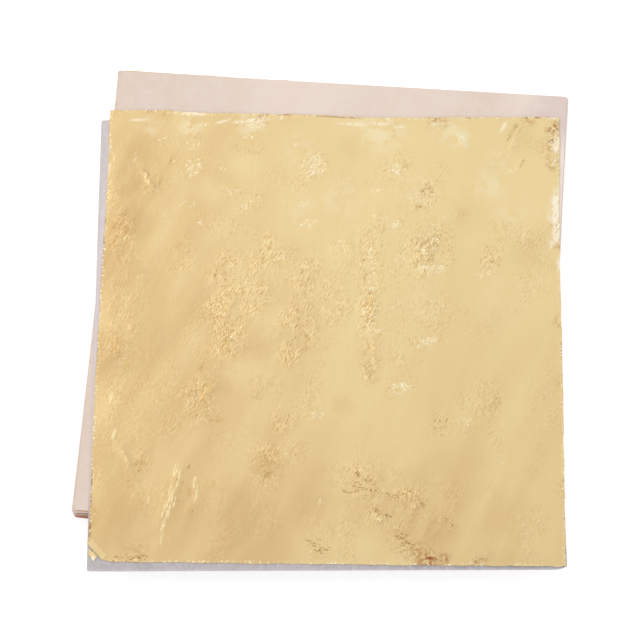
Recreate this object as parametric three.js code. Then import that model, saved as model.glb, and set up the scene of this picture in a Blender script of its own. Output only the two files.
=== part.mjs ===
// A pack of imitation gold leaf: square metal leaves in a loose pile, each on its own tissue,
// with one more tissue and its bare leaf lying turned on top. Nothing binds the sheets.
// Millimetres and +Z up. The origin is the middle of the pile's underside, X and Y run along
// the pile's sides, and -Y is the front.

import * as THREE from 'three'

// The sheets as they are cut and beaten. A leaf stops short of its tissue's sides by the margins.
// The pile was cut in one go, a little hollow on its left and right.
const tissueSide = 140
const tissueThickness = 0.12
const tissueCornerCut = 0.35
const hollowLeft = 0.4
const hollowRight = 1.05
const leafMarginAcross = 1
const leafMarginAlong = 0.05
const leafThickness = 0.05

// How a leaf's border wanders in and out: waves and ripples, counted in turns along one side,
// and a ragged part
const deckleDepth = 0.45
const deckleWaves = 2.4
const deckleRipples = 6.9
const waveShare = 0.35
const rippleShare = 0.2
const raggedShare = 0.45
const raggedFineness = 1000

// The pile's last leaf has lost its back right corner
const tornAcross = 10.5
const tornBite = 5
const tornAlong = 17

// How the sheets lie on each other
const leavesInPile = 24
const clingGap = 0.03
const loftGap = 0.185
const pileSlip = 0.14
const pileTwist = 0.07
const coverTurn = 0.27

// The tissue and leaf on top: where their middles lie, and how far they are turned, in degrees
const topTissueTrim = 1.7
const topTissueX = 0.13
const topTissueY = -12.3
const topTissueTurn = 4.06
const topTissueGap = 0.08
const topLeafX = 1.12
const topLeafY = -10.66
const topLeafTurn = 2.88
const topLeafGap = 0.12
const droopDepth = 0.8
const droopReach = 17

// The top leaf's folded corner, and its crinkles, which are tallest in bundles. A bundle's middle
// is given in shares of the leaf's width and length, and it runs at an angle from +X in degrees
const cornerCut = 4.7
const foldedFlap = 1.5
const foldRadius = 0.11
const crinkleHeight = 0.04
const ridgeSpacing = 7.4
const bundles = [
  { across: -0.33, along: -0.37, run: 78, length: 17, width: 4.5, height: 0.34 },
  { across: -0.28, along: -0.35, run: 104, length: 9, width: 3.5, height: 0.2 },
  { across: -0.26, along: -0.15, run: 64, length: 16, width: 6, height: 0.14 },
  { across: -0.13, along: -0.3, run: 80, length: 14, width: 5, height: 0.13 },
  { across: -0.22, along: 0.04, run: 62, length: 30, width: 9, height: 0.2 },
  { across: -0.05, along: 0.03, run: 64, length: 26, width: 8, height: 0.18 },
  { across: 0.09, along: 0.02, run: 92, length: 30, width: 5, height: 0.2 },
  { across: 0.22, along: 0.2, run: 97, length: 28, width: 8, height: 0.2 },
  { across: 0.11, along: -0.35, run: 152, length: 18, width: 7, height: 0.3 },
  { across: 0.16, along: -0.45, run: 140, length: 8, width: 5, height: 0.24 },
  { across: 0.26, along: -0.2, run: 60, length: 12, width: 4, height: 0.14 },
  { across: 0.41, along: 0.44, run: 58, length: 9, width: 5, height: 0.26 },
  { across: -0.43, along: 0.27, run: 96, length: 22, width: 6, height: 0.24 },
  { across: -0.43, along: 0.04, run: 80, length: 20, width: 7, height: 0.16 },
  { across: -0.43, along: -0.28, run: 124, length: 9, width: 4, height: 0.24 }
]

// How finely the sheets are faceted
const tissueCell = 10
const leafCell = 3.5
const edgeStep = 12
const hollowSteps = 6

// Uneven factors that make a wobble look like chance
const scatterFirst = 12.9898
const scatterSecond = 78.233
const scatterAll = 43758.5453

const tissueColour = '#e2d8d4'
const pileTissueColour = '#e3d0c2'
const leafColour = '#e2c88f'

const leafWidth = tissueSide - 2 * leafMarginAcross
const leafLength = tissueSide - 2 * leafMarginAlong
const leafPitch = tissueThickness + clingGap + leafThickness + loftGap
const pileHeight = leavesInPile * leafPitch + tissueThickness

function tissueMaterial(colour) {
  return new THREE.MeshStandardMaterial({ color: colour, roughness: 0.85, metalness: 0 })
}

function leafMaterial() {
  return new THREE.MeshStandardMaterial({ color: leafColour, roughness: 0.35, metalness: 1 })
}

// A repeatable number from -1 to 1 for each pair of numbers
function wobble(a, b) {
  const scattered = Math.sin(a * scatterFirst + b * scatterSecond) * scatterAll
  return 2 * (scattered - Math.floor(scattered)) - 1
}

// How far a leaf's border stands out at a place along it, counted in sides: waves, ripples
// and a ragged part, the same each time
function deckle(sides, sheet) {
  const turns = sides * Math.PI * 2
  const wave = waveShare * Math.sin(turns * deckleWaves + sheet)
  const ripple = rippleShare * Math.sin(turns * deckleRipples - sheet)
  const ragged = raggedShare * wobble(Math.round(sides * raggedFineness), sheet)
  return deckleDepth * (wave + ripple + ragged)
}

function toRadians(degrees) {
  return (degrees * Math.PI) / 180
}

function named(geometry, material, name) {
  const mesh = new THREE.Mesh(geometry, material)
  mesh.name = name
  return mesh
}

// Draws a point in towards the middle where the pile's sides are hollow
function hollowed(point) {
  const half = tissueSide / 2
  const depth = point.x > 0 ? hollowRight : hollowLeft
  point.x *= 1 - (depth / half) * (1 - (point.y / half) ** 2)
  return point
}

// A tissue is guillotined, so its sides are smooth, and its corners are a little blunt
function tissueOutline() {
  const half = tissueSide / 2
  const cut = half - tissueCornerCut
  const points = [new THREE.Vector2(-cut, -half), new THREE.Vector2(cut, -half)]
  for (let i = 0; i <= hollowSteps; i += 1) {
    points.push(new THREE.Vector2(half, cut * ((2 * i) / hollowSteps - 1)))
  }
  points.push(new THREE.Vector2(cut, half), new THREE.Vector2(-cut, half))
  for (let i = 0; i <= hollowSteps; i += 1) {
    points.push(new THREE.Vector2(-half, cut * (1 - (2 * i) / hollowSteps)))
  }
  return new THREE.Shape(points.map(hollowed))
}

// A beaten leaf is never trimmed clean: each side wanders in and out
function leafOutline(sheet) {
  const points = []
  const steps = Math.round(leafWidth / edgeStep)
  const x = leafWidth / 2
  const y = leafLength / 2
  for (let side = 0; side < 4; side += 1) {
    for (let i = 0; i < steps; i += 1) {
      const along = i / steps
      const out = deckle(side + along, sheet)
      const corner = i === 0 ? deckleDepth : 0
      const u = -1 + 2 * along + corner / x
      const v = -1 + (corner - out) / y
      const turned = [[u, v], [-v, u], [-u, -v], [v, -u]][side]
      points.push(new THREE.Vector2(turned[0] * x, turned[1] * y))
    }
  }
  const whole = points.map(hollowed)
  return new THREE.Shape(sheet === leavesInPile ? tearCorner(whole) : whole)
}

// The back right corner's points give way to a tear that bites into the leaf
function tearCorner(points) {
  const x = leafWidth / 2
  const y = leafLength / 2
  const kept = points.filter((point) => point.x < x - tornAcross || point.y < y - tornAlong)
  const before = kept.filter((point) => point.x > x - tornAcross && point.y < y - tornAlong)
  const tear = [
    new THREE.Vector2(x - deckleDepth, y - tornAlong),
    new THREE.Vector2(x - tornAcross - tornBite, y - tornAlong / 2),
    new THREE.Vector2(x - tornAcross, y - deckleDepth)
  ]
  kept.splice(kept.indexOf(before.at(-1)) + 1, 0, ...tear)
  return kept
}

function flatSheet(outline, thickness) {
  return new THREE.ExtrudeGeometry(outline, { depth: thickness, bevelEnabled: false })
}

// How far a point of a sheet lies beyond the pile's sides
function beyondPile(point) {
  const half = tissueSide / 2
  return Math.max(Math.abs(point.x) - half, Math.abs(point.y) - half, 0)
}

// A sheet on top is flat over the pile, and its free border droops
function droop(place, x, y) {
  const point = new THREE.Vector2(x, y).rotateAround(new THREE.Vector2(), toRadians(place.turn))
  point.add(new THREE.Vector2(place.x, place.y))
  return -droopDepth * (beyondPile(point) / droopReach) ** 2
}

// A grid of points over a sheet, with its middle surface at the height that heightAt gives
function sheetGrid(width, length, cell, edgeAt, heightAt) {
  const columns = Math.round(width / cell)
  const rows = Math.round(length / cell)
  const points = []
  for (let j = 0; j <= rows; j += 1) {
    for (let i = 0; i <= columns; i += 1) {
      const x = width * (i / columns - 0.5)
      const y = length * (j / rows - 0.5)
      const sideX = i === 0 ? -1 : i === columns ? 1 : 0
      const sideY = j === 0 ? -1 : j === rows ? 1 : 0
      const outX = sideX * edgeAt(y / length + sideX)
      const outY = sideY * edgeAt(x / width + 3 * sideY)
      points.push(new THREE.Vector3(x + outX, y + outY, heightAt(x, y)))
    }
  }
  const triangles = []
  for (let j = 0; j < rows; j += 1) {
    for (let i = 0; i < columns; i += 1) {
      const a = j * (columns + 1) + i
      const b = a + 1
      const c = a + columns + 1
      const d = c + 1
      triangles.push([b, d, c], [a, b, c])
    }
  }
  return { points, triangles, columns, rows }
}

// Each point's normal, from the triangles round it
function normalsOf(grid) {
  const normals = grid.points.map(() => new THREE.Vector3())
  for (const [a, b, c] of grid.triangles) {
    const ab = grid.points[b].clone().sub(grid.points[a])
    const ac = grid.points[c].clone().sub(grid.points[a])
    const normal = ab.cross(ac)
    normals[a].add(normal)
    normals[b].add(normal)
    normals[c].add(normal)
  }
  return normals.map((normal) => normal.normalize())
}

// The edges that only one triangle has, each running the way that its triangle does
function rimOf(triangles) {
  const edges = new Map()
  for (const triangle of triangles) {
    for (let k = 0; k < 3; k += 1) {
      const from = triangle[k]
      const to = triangle[(k + 1) % 3]
      const back = `${to} ${from}`
      if (edges.has(back)) edges.delete(back)
      else edges.set(`${from} ${to}`, [from, to])
    }
  }
  return [...edges.values()]
}

// A closed sheet of the given thickness about a middle surface
function thickSheet(grid, thickness) {
  const count = grid.points.length
  const normals = normalsOf(grid)
  const upper = grid.points.map((p, i) => p.clone().addScaledVector(normals[i], thickness / 2))
  const lower = grid.points.map((p, i) => p.clone().addScaledVector(normals[i], -thickness / 2))
  const faces = []
  for (const [a, b, c] of grid.triangles) {
    faces.push(a, b, c, count + c, count + b, count + a)
  }
  for (const [from, to] of rimOf(grid.triangles)) {
    faces.push(from, count + from, to, to, count + from, count + to)
  }
  const geometry = new THREE.BufferGeometry()
  geometry.setFromPoints([...upper, ...lower])
  geometry.setIndex(faces)
  geometry.computeVertexNormals()
  return geometry
}

// The leaf's corner is torn off on the slant, and a narrow flap there is turned up and back
// over the leaf
function foldCorner(grid) {
  const right = grid.points[1]
  const up = grid.points[grid.columns + 1]
  right.x = grid.points[0].x + cornerCut
  up.y = grid.points[0].y + cornerCut
  const inward = new THREE.Vector3(up.y - right.y, right.x - up.x, 0).normalize()
  grid.triangles = grid.triangles.filter((triangle) => !triangle.includes(0))
  const steps = [
    [-foldRadius, foldRadius],
    [0, 2 * foldRadius],
    [foldedFlap, 2 * foldRadius]
  ]
  let previous = [1, grid.columns + 1]
  for (const [across, height] of steps) {
    const row = previous.map((_, side) => {
      const start = side === 0 ? right : up
      const point = start.clone().addScaledVector(inward, across)
      point.z += height
      return grid.points.push(point) - 1
    })
    grid.triangles.push([previous[0], previous[1], row[1]], [previous[0], row[1], row[0]])
    previous = row
  }
  return grid
}

// How high the crinkled leaf stands off its tissue: a little everywhere, more along the ridges of
// each bundle, and nothing at its borders
function crinkleAt(x, y) {
  const border = Math.min(leafWidth / 2 - Math.abs(x), leafLength / 2 - Math.abs(y))
  const fade = Math.min(Math.max(border, 0) / leafCell, 1)
  let height = (crinkleHeight * (1 + wobble(x / leafWidth, y / leafLength))) / 2
  for (const bundle of bundles) {
    const point = new THREE.Vector2(x - bundle.across * leafWidth, y - bundle.along * leafLength)
    point.rotateAround(new THREE.Vector2(), -toRadians(bundle.run))
    const near = Math.exp(-((point.x / bundle.length) ** 2) - (point.y / bundle.width) ** 2)
    const ridge = (1 + Math.cos((point.y / ridgeSpacing) * Math.PI * 2)) / 2
    height += bundle.height * near * ridge
  }
  return fade * height
}

function pileTissue(number) {
  const geometry = flatSheet(tissueOutline(), tissueThickness)
  const digits = String(number).padStart(2, '0')
  const mesh = named(geometry, tissueMaterial(pileTissueColour), `pile_tissue_${digits}`)
  mesh.position.z = (number - 1) * leafPitch
  const slips = number > 1 && number <= leavesInPile ? 1 : 0
  const turn = number > leavesInPile ? coverTurn : slips * pileTwist * wobble(number, 3)
  mesh.position.x = slips * pileSlip * wobble(number, 1)
  mesh.position.y = slips * pileSlip * wobble(number, 2)
  mesh.rotation.z = toRadians(turn)
  return mesh
}

function pileLeaf(number) {
  const digits = String(number).padStart(2, '0')
  const mesh = named(flatSheet(leafOutline(number), leafThickness), leafMaterial(), `pile_leaf_${digits}`)
  mesh.position.z = (number - 1) * leafPitch + tissueThickness + clingGap
  mesh.position.x = pileSlip * wobble(number, 4)
  mesh.position.y = pileSlip * wobble(number, 5)
  mesh.rotation.z = toRadians(pileTwist * wobble(number, 6))
  return mesh
}

function topTissue() {
  const place = { x: topTissueX, y: topTissueY, turn: topTissueTurn }
  const width = tissueSide - topTissueTrim
  const grid = sheetGrid(width, tissueSide, tissueCell, () => 0, (x, y) => droop(place, x, y))
  const mesh = named(thickSheet(grid, tissueThickness), tissueMaterial(tissueColour), 'top_tissue')
  mesh.position.set(place.x, place.y, pileHeight + topTissueGap + tissueThickness / 2)
  mesh.rotation.z = toRadians(place.turn)
  return mesh
}

function topLeaf() {
  const place = { x: topLeafX, y: topLeafY, turn: topLeafTurn }
  const sheet = leavesInPile + 1
  const edgeAt = (sides) => deckle(sides, sheet)
  const heightAt = (x, y) => droop(place, x, y) + crinkleAt(x, y)
  const grid = foldCorner(sheetGrid(leafWidth, leafLength, leafCell, edgeAt, heightAt))
  const mesh = named(thickSheet(grid, leafThickness), leafMaterial(), 'top_leaf')
  const tissueTop = pileHeight + topTissueGap + tissueThickness
  mesh.position.set(place.x, place.y, tissueTop + topLeafGap + leafThickness / 2)
  mesh.rotation.z = toRadians(place.turn)
  return mesh
}

const pack = new THREE.Group()
for (let number = 1; number <= leavesInPile; number += 1) {
  pack.add(pileTissue(number), pileLeaf(number))
}
pack.add(pileTissue(leavesInPile + 1), topTissue(), topLeaf())

export default pack
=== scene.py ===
import math

import bpy
import numpy as np
from mathutils import Matrix, Vector


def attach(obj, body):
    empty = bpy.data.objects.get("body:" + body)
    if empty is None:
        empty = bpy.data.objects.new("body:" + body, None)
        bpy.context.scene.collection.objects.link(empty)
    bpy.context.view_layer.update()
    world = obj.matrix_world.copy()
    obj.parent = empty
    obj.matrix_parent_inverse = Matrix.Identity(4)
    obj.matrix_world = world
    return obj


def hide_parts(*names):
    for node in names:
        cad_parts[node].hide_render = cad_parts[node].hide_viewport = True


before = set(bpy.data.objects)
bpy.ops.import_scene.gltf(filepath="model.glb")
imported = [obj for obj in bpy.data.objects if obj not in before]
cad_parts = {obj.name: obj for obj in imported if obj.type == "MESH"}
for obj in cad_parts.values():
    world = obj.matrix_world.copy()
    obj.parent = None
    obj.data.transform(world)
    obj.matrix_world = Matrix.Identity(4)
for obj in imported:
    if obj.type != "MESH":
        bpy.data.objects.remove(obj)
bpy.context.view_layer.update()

mm = 0.001

# A pack of imitation gold leaf. Every sheet of the CAD model is limp, so each gets a finer piece
# that lies in its place. Sizes are in millimetres, and angles in degrees.

# small helpers


def linearColour(hexColour):
    channels = [int(hexColour[i:i + 2], 16) / 255 for i in (1, 3, 5)]
    linear = [c / 12.92 if c <= 0.04045 else ((c + 0.055) / 1.055) ** 2.4 for c in channels]
    return (*linear, 1.0)


def addNode(tree, kind, inputs=None, **settings):
    # an input takes a value, a socket, a node for its first output in use, or a list of them
    node = tree.nodes.new(kind)
    for name, value in settings.items():
        setattr(node, name, value)
    for key, value in (inputs or {}).items():
        for source in value if isinstance(value, list) else [value]:
            if isinstance(source, bpy.types.Node):
                source = next(output for output in source.outputs if output.enabled)
            if isinstance(source, bpy.types.NodeSocket):
                tree.links.new(source, node.inputs[key])
            else:
                node.inputs[key].default_value = source
    return node


def addObject(name, data):
    thing = bpy.data.objects.new(name, data)
    bpy.context.scene.collection.objects.link(thing)
    return thing


def perMetre(spacing):
    return 1000 / spacing   # a texture's scale for bumps that stand this many millimetres apart


def softNoise(x, y, spacing, seed):
    # smooth hills and dips from about -1 to 1, one spacing apart
    angle = np.random.default_rng(seed).uniform(0, 2 * np.pi, (512, 512))
    u, v = x / spacing + 200, y / spacing + 200
    i, j = np.floor(u).astype(int), np.floor(v).astype(int)
    fu, fv = u - i, v - j

    def slope(di, dj):
        a = angle[(i + di) % 512, (j + dj) % 512]
        return np.cos(a) * (fu - di) + np.sin(a) * (fv - dj)

    su, sv = fu ** 3 * (fu * (fu * 6 - 15) + 10), fv ** 3 * (fv * (fv * 6 - 15) + 10)
    low = slope(0, 0) * (1 - su) + slope(1, 0) * su
    high = slope(0, 1) * (1 - su) + slope(1, 1) * su
    return 1.5 * (low * (1 - sv) + high * sv)


def roughNoise(x, y, spacing, seed, layers=3):
    total = sum(softNoise(x, y, spacing / 2 ** k, seed + k) / 2 ** k for k in range(layers))
    return total / (2 - 2 ** (1 - layers))


def smoothStep(low, high, value):
    t = np.clip((value - low) / (high - low), 0, 1)
    return t * t * (3 - 2 * t)


def wobble(a, b):
    # the CAD source's own repeatable number from -1 to 1, so the sheets slip as its sheets do
    scattered = math.sin(a * 12.9898 + b * 78.233) * 43758.5453
    return 2 * (scattered - math.floor(scattered)) - 1


def turnedTo(run, x, y):
    # distances along and across a line that runs at this many degrees
    turn = math.radians(run)
    return x * math.cos(turn) + y * math.sin(turn), y * math.cos(turn) - x * math.sin(turn)


# how the pack lies

packLay = {
    "tissueSide": 140, "tissueThickness": 0.12, "cornerRadius": 0.35,
    "hollowLeft": 0.4, "hollowRight": 1.05,
    "leafWidth": 138, "leafLength": 139.9, "leafThickness": 0.05,
    "leavesInPile": 24, "clingGap": 0.03, "loftGap": 0.185,
    "topTissueGap": 0.08, "topLeafGap": 0.12,
    "slip": 0.14, "twist": 0.07, "coverTurn": 0.27,
    "droopDepth": 0.8, "droopReach": 17,
}
tissueSide, tissueThickness = packLay["tissueSide"], packLay["tissueThickness"]
leafCount = packLay["leavesInPile"]
leafPitch = (tissueThickness + packLay["clingGap"]
             + packLay["leafThickness"] + packLay["loftGap"])
pileHeight = leafCount * leafPitch + tissueThickness

topTissuePlace = {"x": 0.13, "y": -12.3, "turn": 4.06, "width": 138.3, "length": 140,
                  "middle": pileHeight + packLay["topTissueGap"] + tissueThickness / 2}
topLeafPlace = {"x": 1.12, "y": -10.66, "turn": 2.88, "width": packLay["leafWidth"],
                "length": packLay["leafLength"],
                "middle": (pileHeight + packLay["topTissueGap"] + tissueThickness
                           + packLay["topLeafGap"] + packLay["leafThickness"] / 2)}


def toPack(place, x, y):
    # from a turned sheet's own millimetres to the pack's
    turn = math.radians(place["turn"])
    return (place["x"] + x * math.cos(turn) - y * math.sin(turn),
            place["y"] + x * math.sin(turn) + y * math.cos(turn))


def droopAt(packX, packY):
    half = tissueSide / 2
    beyond = np.maximum(np.maximum(np.abs(packX) - half, np.abs(packY) - half), 0)
    return -packLay["droopDepth"] * (beyond / packLay["droopReach"]) ** 2, beyond


def takePlace(piece, body, cadNode):
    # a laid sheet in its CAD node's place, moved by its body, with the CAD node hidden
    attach(piece, body)
    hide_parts(cadNode)


# finishes


def newMaterial(name):
    material = bpy.data.materials.new(name)
    material.use_nodes = True
    material.node_tree.nodes.clear()
    return material, material.node_tree


def sheetCoordinates(tree, place):
    # Object coordinates centred on the sheet and turned with it
    coordinates = addNode(tree, "ShaderNodeTexCoord")
    return addNode(tree, "ShaderNodeMapping", {
        "Vector": coordinates.outputs["Object"],
        "Location": (place["x"] * mm, place["y"] * mm, 0),
        "Rotation": (0, 0, math.radians(place["turn"])),
    }, vector_type="TEXTURE")


def layColours(tree, finish, base, layers):
    # each layer covers what two patterns make together, in the finish's colour of that name
    colour = linearColour(finish[base])
    for first, second, name in layers:
        share = addNode(tree, "ShaderNodeMath", {0: first, 1: second}, operation="MULTIPLY")
        colour = addNode(tree, "ShaderNodeMix", {
            0: share, 6: colour, 7: linearColour(finish[name])}, data_type="RGBA")
    return colour


def finishSurface(tree, colour, roughness, bumps=None, bumpHeight=1.0, metallic=0.0):
    surface = {"Base Color": colour, "Roughness": roughness, "Metallic": metallic}
    if bumps:
        surface["Normal"] = addNode(tree, "ShaderNodeBump", {
            "Height": bumps, "Strength": 1.0, "Distance": bumpHeight * mm})
    shader = addNode(tree, "ShaderNodeBsdfPrincipled", surface)
    addNode(tree, "ShaderNodeOutputMaterial", {"Surface": shader})


# painted light in these colours: the hollow, dull and crease colours are painted shade, the light,
# strand, glint and pale colours painted highlights, glare is a painted reflection, and warm is
# partly tint and partly painted shade
leafFinish = {
    "field": "#f0d8a2", "warm": "#dcbc87", "dull": "#ceab77", "hollowShade": "#b98d4b", "light": "#fcf0c8",
    "tarnish": "#c2945d", "rust": "#97462a", "crease": "#b8935a", "deepCreaseShade": "#a37e4a",
    "strand": "#f7e3b2", "glint": "#fff8dc", "pale": "#f5ebca", "glare": "#fff3dc",
    "brownLine": "#ab7b55", "roughness": 0.34, "crinkleRoughness": 0.26,
    "wrinkleRun": 62, "wrinkleStretch": 4.2, "wrinkleSpacing": 0.27, "wrinkleHeight": 0.15,
    "grainSpacing": 0.45, "grainHeight": 0.042, "pieceSpacing": 1.1,
}

# fine lines in the leaf, painted crease shade and painted highlights: what drives them, the way
# they run, stretch, spacing, width, colour
leafLines = [
    ("slantCrease", 62, 3.4, 0.7, 0.022, "crease"),
    ("flatCrease", -14, 3.4, 0.7, 0.03, "deepCreaseShade"),
    ("strand", 79, 8.0, 0.42, 0.07, "strand"),
    ("glint", 25, 1.6, 1.0, 0.02, "glint"),
    ("glint", 75, 2.0, 0.7, 0.02, "light"),
]

# blots in the leaf: the noise's course, spacing, detail, where it starts and is full, least share
leafBlots = {
    "tone": ("slanted", 11, 3.0, 0.35, 0.65, 0.5), "soft": ("slanted", 4, 2.0, 0.25, 0.6, 0.3),
    "speckle": ("straight", 1.1, 3.0, 0.42, 0.58, 0.0),
    "broken": ("straight", 3.0, 2.0, 0.42, 0.56, 0.0),
    "shine": ("slanted", 0.5, 3.0, 0.4, 0.5, 0.0),
    "borderPieces": ("straight", 2.2, 2.0, 0.4, 0.52, 0.0),
    "borderSpecks": ("straight", 0.7, 2.0, 0.56, 0.64, 0.0),
}


def makeLeafMaterial(place, finish):
    # Dutch metal, a brass beaten into leaf: a satin yellow mirror, finely wrinkled in patches, that
    # browns and reddens where the air got at its borders
    material, tree = newMaterial("beatenBrassLeaf")
    local = sheetCoordinates(tree, place)
    marks = {name: addNode(tree, "ShaderNodeAttribute", attribute_name=name).outputs["Fac"]
             for name in ("crinkle", "slantCrease", "flatCrease", "strand", "glint", "warm",
                          "dull", "tarnish", "rust", "pale", "glare", "browned", "fromBorder")}
    slanted = addNode(tree, "ShaderNodeMapping", {
        "Vector": local, "Rotation": (0, 0, math.radians(finish["wrinkleRun"])),
        "Scale": (finish["wrinkleStretch"], 1, 1)}, vector_type="TEXTURE")
    wrinkles = addNode(tree, "ShaderNodeTexNoise", {
        "Vector": slanted, "Scale": perMetre(finish["wrinkleSpacing"]), "Detail": 2.0,
        "Roughness": 0.65, "Distortion": 0.25})
    grain = addNode(tree, "ShaderNodeTexNoise", {
        "Vector": slanted, "Scale": perMetre(finish["grainSpacing"]), "Detail": 2.0})

    patterns = {}
    for name, (course, spacing, detail, low, high, least) in leafBlots.items():
        noise = addNode(tree, "ShaderNodeTexNoise", {
            "Vector": slanted if course == "slanted" else local, "Scale": perMetre(spacing),
            "Detail": detail})
        patterns[name] = addNode(tree, "ShaderNodeMapRange", {
            "Value": noise, "From Min": low, "From Max": high, "To Min": least})
    for name, value, low, high, most in [
            ("hollows", wrinkles, 0.49, 0.41, 0.85), ("crests", wrinkles, 0.55, 0.62, 0.5),
            ("atBorder", marks["fromBorder"], 0.65, 0.35, 1.0),
            ("nearBorder", marks["fromBorder"], 1.1, 0.4, 1.0)]:
        patterns[name] = addNode(tree, "ShaderNodeMapRange", {
            "Value": value, "From Min": low, "From Max": high, "To Max": most})

    # painted shade in the wrinkles' hollows and painted highlights on their crests
    layers = [(marks[mark], patterns[pattern], colour) for mark, pattern, colour in [
        ("warm", "tone", "warm"), ("dull", "soft", "dull"), ("crinkle", "hollows", "hollowShade"),
        ("crinkle", "crests", "light"), ("tarnish", "speckle", "tarnish"),
        ("rust", "speckle", "rust"), ("pale", "broken", "pale"), ("glare", "shine", "glare")]]

    # painted highlights and painted crease shade: threads of light and dark along the level lines
    # of a noise, broken into short pieces
    for name, run, stretch, spacing, lineWidth, colour in leafLines:
        turned = addNode(tree, "ShaderNodeMapping", {
            "Vector": local, "Rotation": (0, 0, math.radians(run)), "Scale": (stretch, 1, 1)},
            vector_type="TEXTURE")
        course = addNode(tree, "ShaderNodeTexNoise", {
            "Vector": turned, "Scale": perMetre(spacing), "Detail": 2.0, "Roughness": 0.6})
        line = addNode(tree, "ShaderNodeMath", {0: course, 1: 0.5, 2: lineWidth},
                       operation="COMPARE")
        pieces = addNode(tree, "ShaderNodeTexNoise", {
            "Vector": turned, "Scale": perMetre(finish["pieceSpacing"]), "Detail": 1.0})
        shown = addNode(tree, "ShaderNodeMath", {0: marks[name], 1: 0.4, 2: pieces},
                        operation="MULTIPLY_ADD")
        cut = addNode(tree, "ShaderNodeMapRange", {
            "Value": shown, "From Min": 0.8, "From Max": 0.86})
        layers.append((line, cut, colour))

    # the border is browned in places along its very edge, and glints just inside it
    brownLine = addNode(tree, "ShaderNodeMath", {
        0: patterns["borderPieces"], 1: marks["browned"]}, operation="MULTIPLY")
    layers += [(patterns["atBorder"], brownLine, "brownLine"),
               (patterns["nearBorder"], patterns["borderSpecks"], "light")]

    wrinkled = addNode(tree, "ShaderNodeMath", {0: wrinkles, 1: marks["crinkle"]},
                       operation="MULTIPLY")
    grained = addNode(tree, "ShaderNodeMath", {0: grain, 1: finish["grainHeight"]},
                      operation="MULTIPLY")
    bumps = addNode(tree, "ShaderNodeMath", {
        0: wrinkled, 1: finish["wrinkleHeight"], 2: grained}, operation="MULTIPLY_ADD")
    roughness = addNode(tree, "ShaderNodeMapRange", {
        "Value": marks["crinkle"], "To Min": finish["roughness"],
        "To Max": finish["crinkleRoughness"]})
    finishSurface(tree, layColours(tree, finish, "field", layers), roughness, bumps, metallic=1.0)
    return material


tissueFinish = {
    "onPile": "#ded1d1", "overhang": "#88898e", "fibre": "#e6e1e0", "fibreSpacing": 1.8,
    "fibreHeight": 0.008, "roughness": 0.72, "rimWidth": 0.35,
}


def makeTopTissueMaterial(place, finish):
    # glassine tissue: thin, slightly glazed paper, painted grey as painted shade where nothing lies
    # under it
    material, tree = newMaterial("glazedTissuePaper")
    local = sheetCoordinates(tree, place)
    overhang = addNode(tree, "ShaderNodeAttribute", attribute_name="overhang").outputs["Fac"]
    onSheet = addNode(tree, "ShaderNodeSeparateXYZ", {0: local})
    front = -place["length"] / 2 * mm
    # painted highlight: the painted shade is lighter along the very front rim
    offRim = addNode(tree, "ShaderNodeMapRange", {
        "Value": onSheet.outputs["Y"], "From Min": front + 0.5 * finish["rimWidth"] * mm,
        "From Max": front + 1.5 * finish["rimWidth"] * mm, "To Min": 0.75})
    fibres = addNode(tree, "ShaderNodeTexNoise", {
        "Vector": local, "Scale": perMetre(finish["fibreSpacing"]), "Detail": 4.0,
        "Distortion": 1.2})
    fibreShare = addNode(tree, "ShaderNodeMapRange", {
        "Value": fibres, "From Min": 0.4, "From Max": 0.8, "To Max": 0.45})
    colour = layColours(tree, finish, "onPile", [(overhang, offRim, "overhang"),
                                                 (fibreShare, 1.0, "fibre")])
    finishSurface(tree, colour, finish["roughness"], fibres, finish["fibreHeight"])
    return material


coverFinish = {
    "overLeaf": "#e5d0c1", "overTissue": "#dfcac3", "fibre": "#ebdfd4", "stain": "#cfae90",
    "pale": "#f6e5da", "fibreSpacing": 2.4, "cloudSpacing": 14, "speckleSpacing": 1.1,
    "fibreHeight": 0.008, "roughness": 0.75,
}


def makeCoverMaterial(finish):
    # the same tissue on a leaf, whose copper colour shows through it as a pinkish cream
    material, tree = newMaterial("tissuePaperOverLeaf")
    coordinates = addNode(tree, "ShaderNodeTexCoord").outputs["Object"]
    leafBelow, stained, pale = (
        addNode(tree, "ShaderNodeAttribute", attribute_name=name).outputs["Fac"]
        for name in ("leafBelow", "stained", "pale"))
    fibres, cloud, speckle = (
        addNode(tree, "ShaderNodeTexNoise", {
            "Vector": coordinates, "Scale": perMetre(finish[name + "Spacing"]), "Detail": detail,
            "Distortion": distortion})
        for name, detail, distortion in [("fibre", 4.0, 1.0), ("cloud", 2.0, 0.0),
                                         ("speckle", 2.0, 0.0)])
    both = addNode(tree, "ShaderNodeMath", {0: fibres, 1: cloud}, operation="MULTIPLY")
    fibreShare = addNode(tree, "ShaderNodeMapRange", {
        "Value": both, "From Min": 0.15, "From Max": 0.4, "To Max": 0.5})
    # painted light: the pale share lifts the shade along the right border
    colour = layColours(tree, finish, "overTissue", [
        (leafBelow, 1.0, "overLeaf"), (fibreShare, 1.0, "fibre"), (speckle, stained, "stain"),
        (pale, 1.0, "pale")])
    finishSurface(tree, colour, finish["roughness"], fibres, finish["fibreHeight"])
    return material


pileFinish = {
    "paper": "#e4d3c6", "edgeLow": "#d89c79", "edgeLowPale": "#e4b193",
    "edgeHigh": "#ecd6c8", "edgeHighPale": "#f6ebe5", "copperFrom": 3.2, "copperTo": 5.2,
    "leaf": "#dbb678", "leafEdge": "#cf9c74", "crinkleSpacing": 3.4, "crinkleHeight": 0.12,
    "paperRoughness": 0.8, "leafRoughness": 0.38,
    "stainRun": 55, "stainDepth": 0.22, "stainWander": 6,
}


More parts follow.
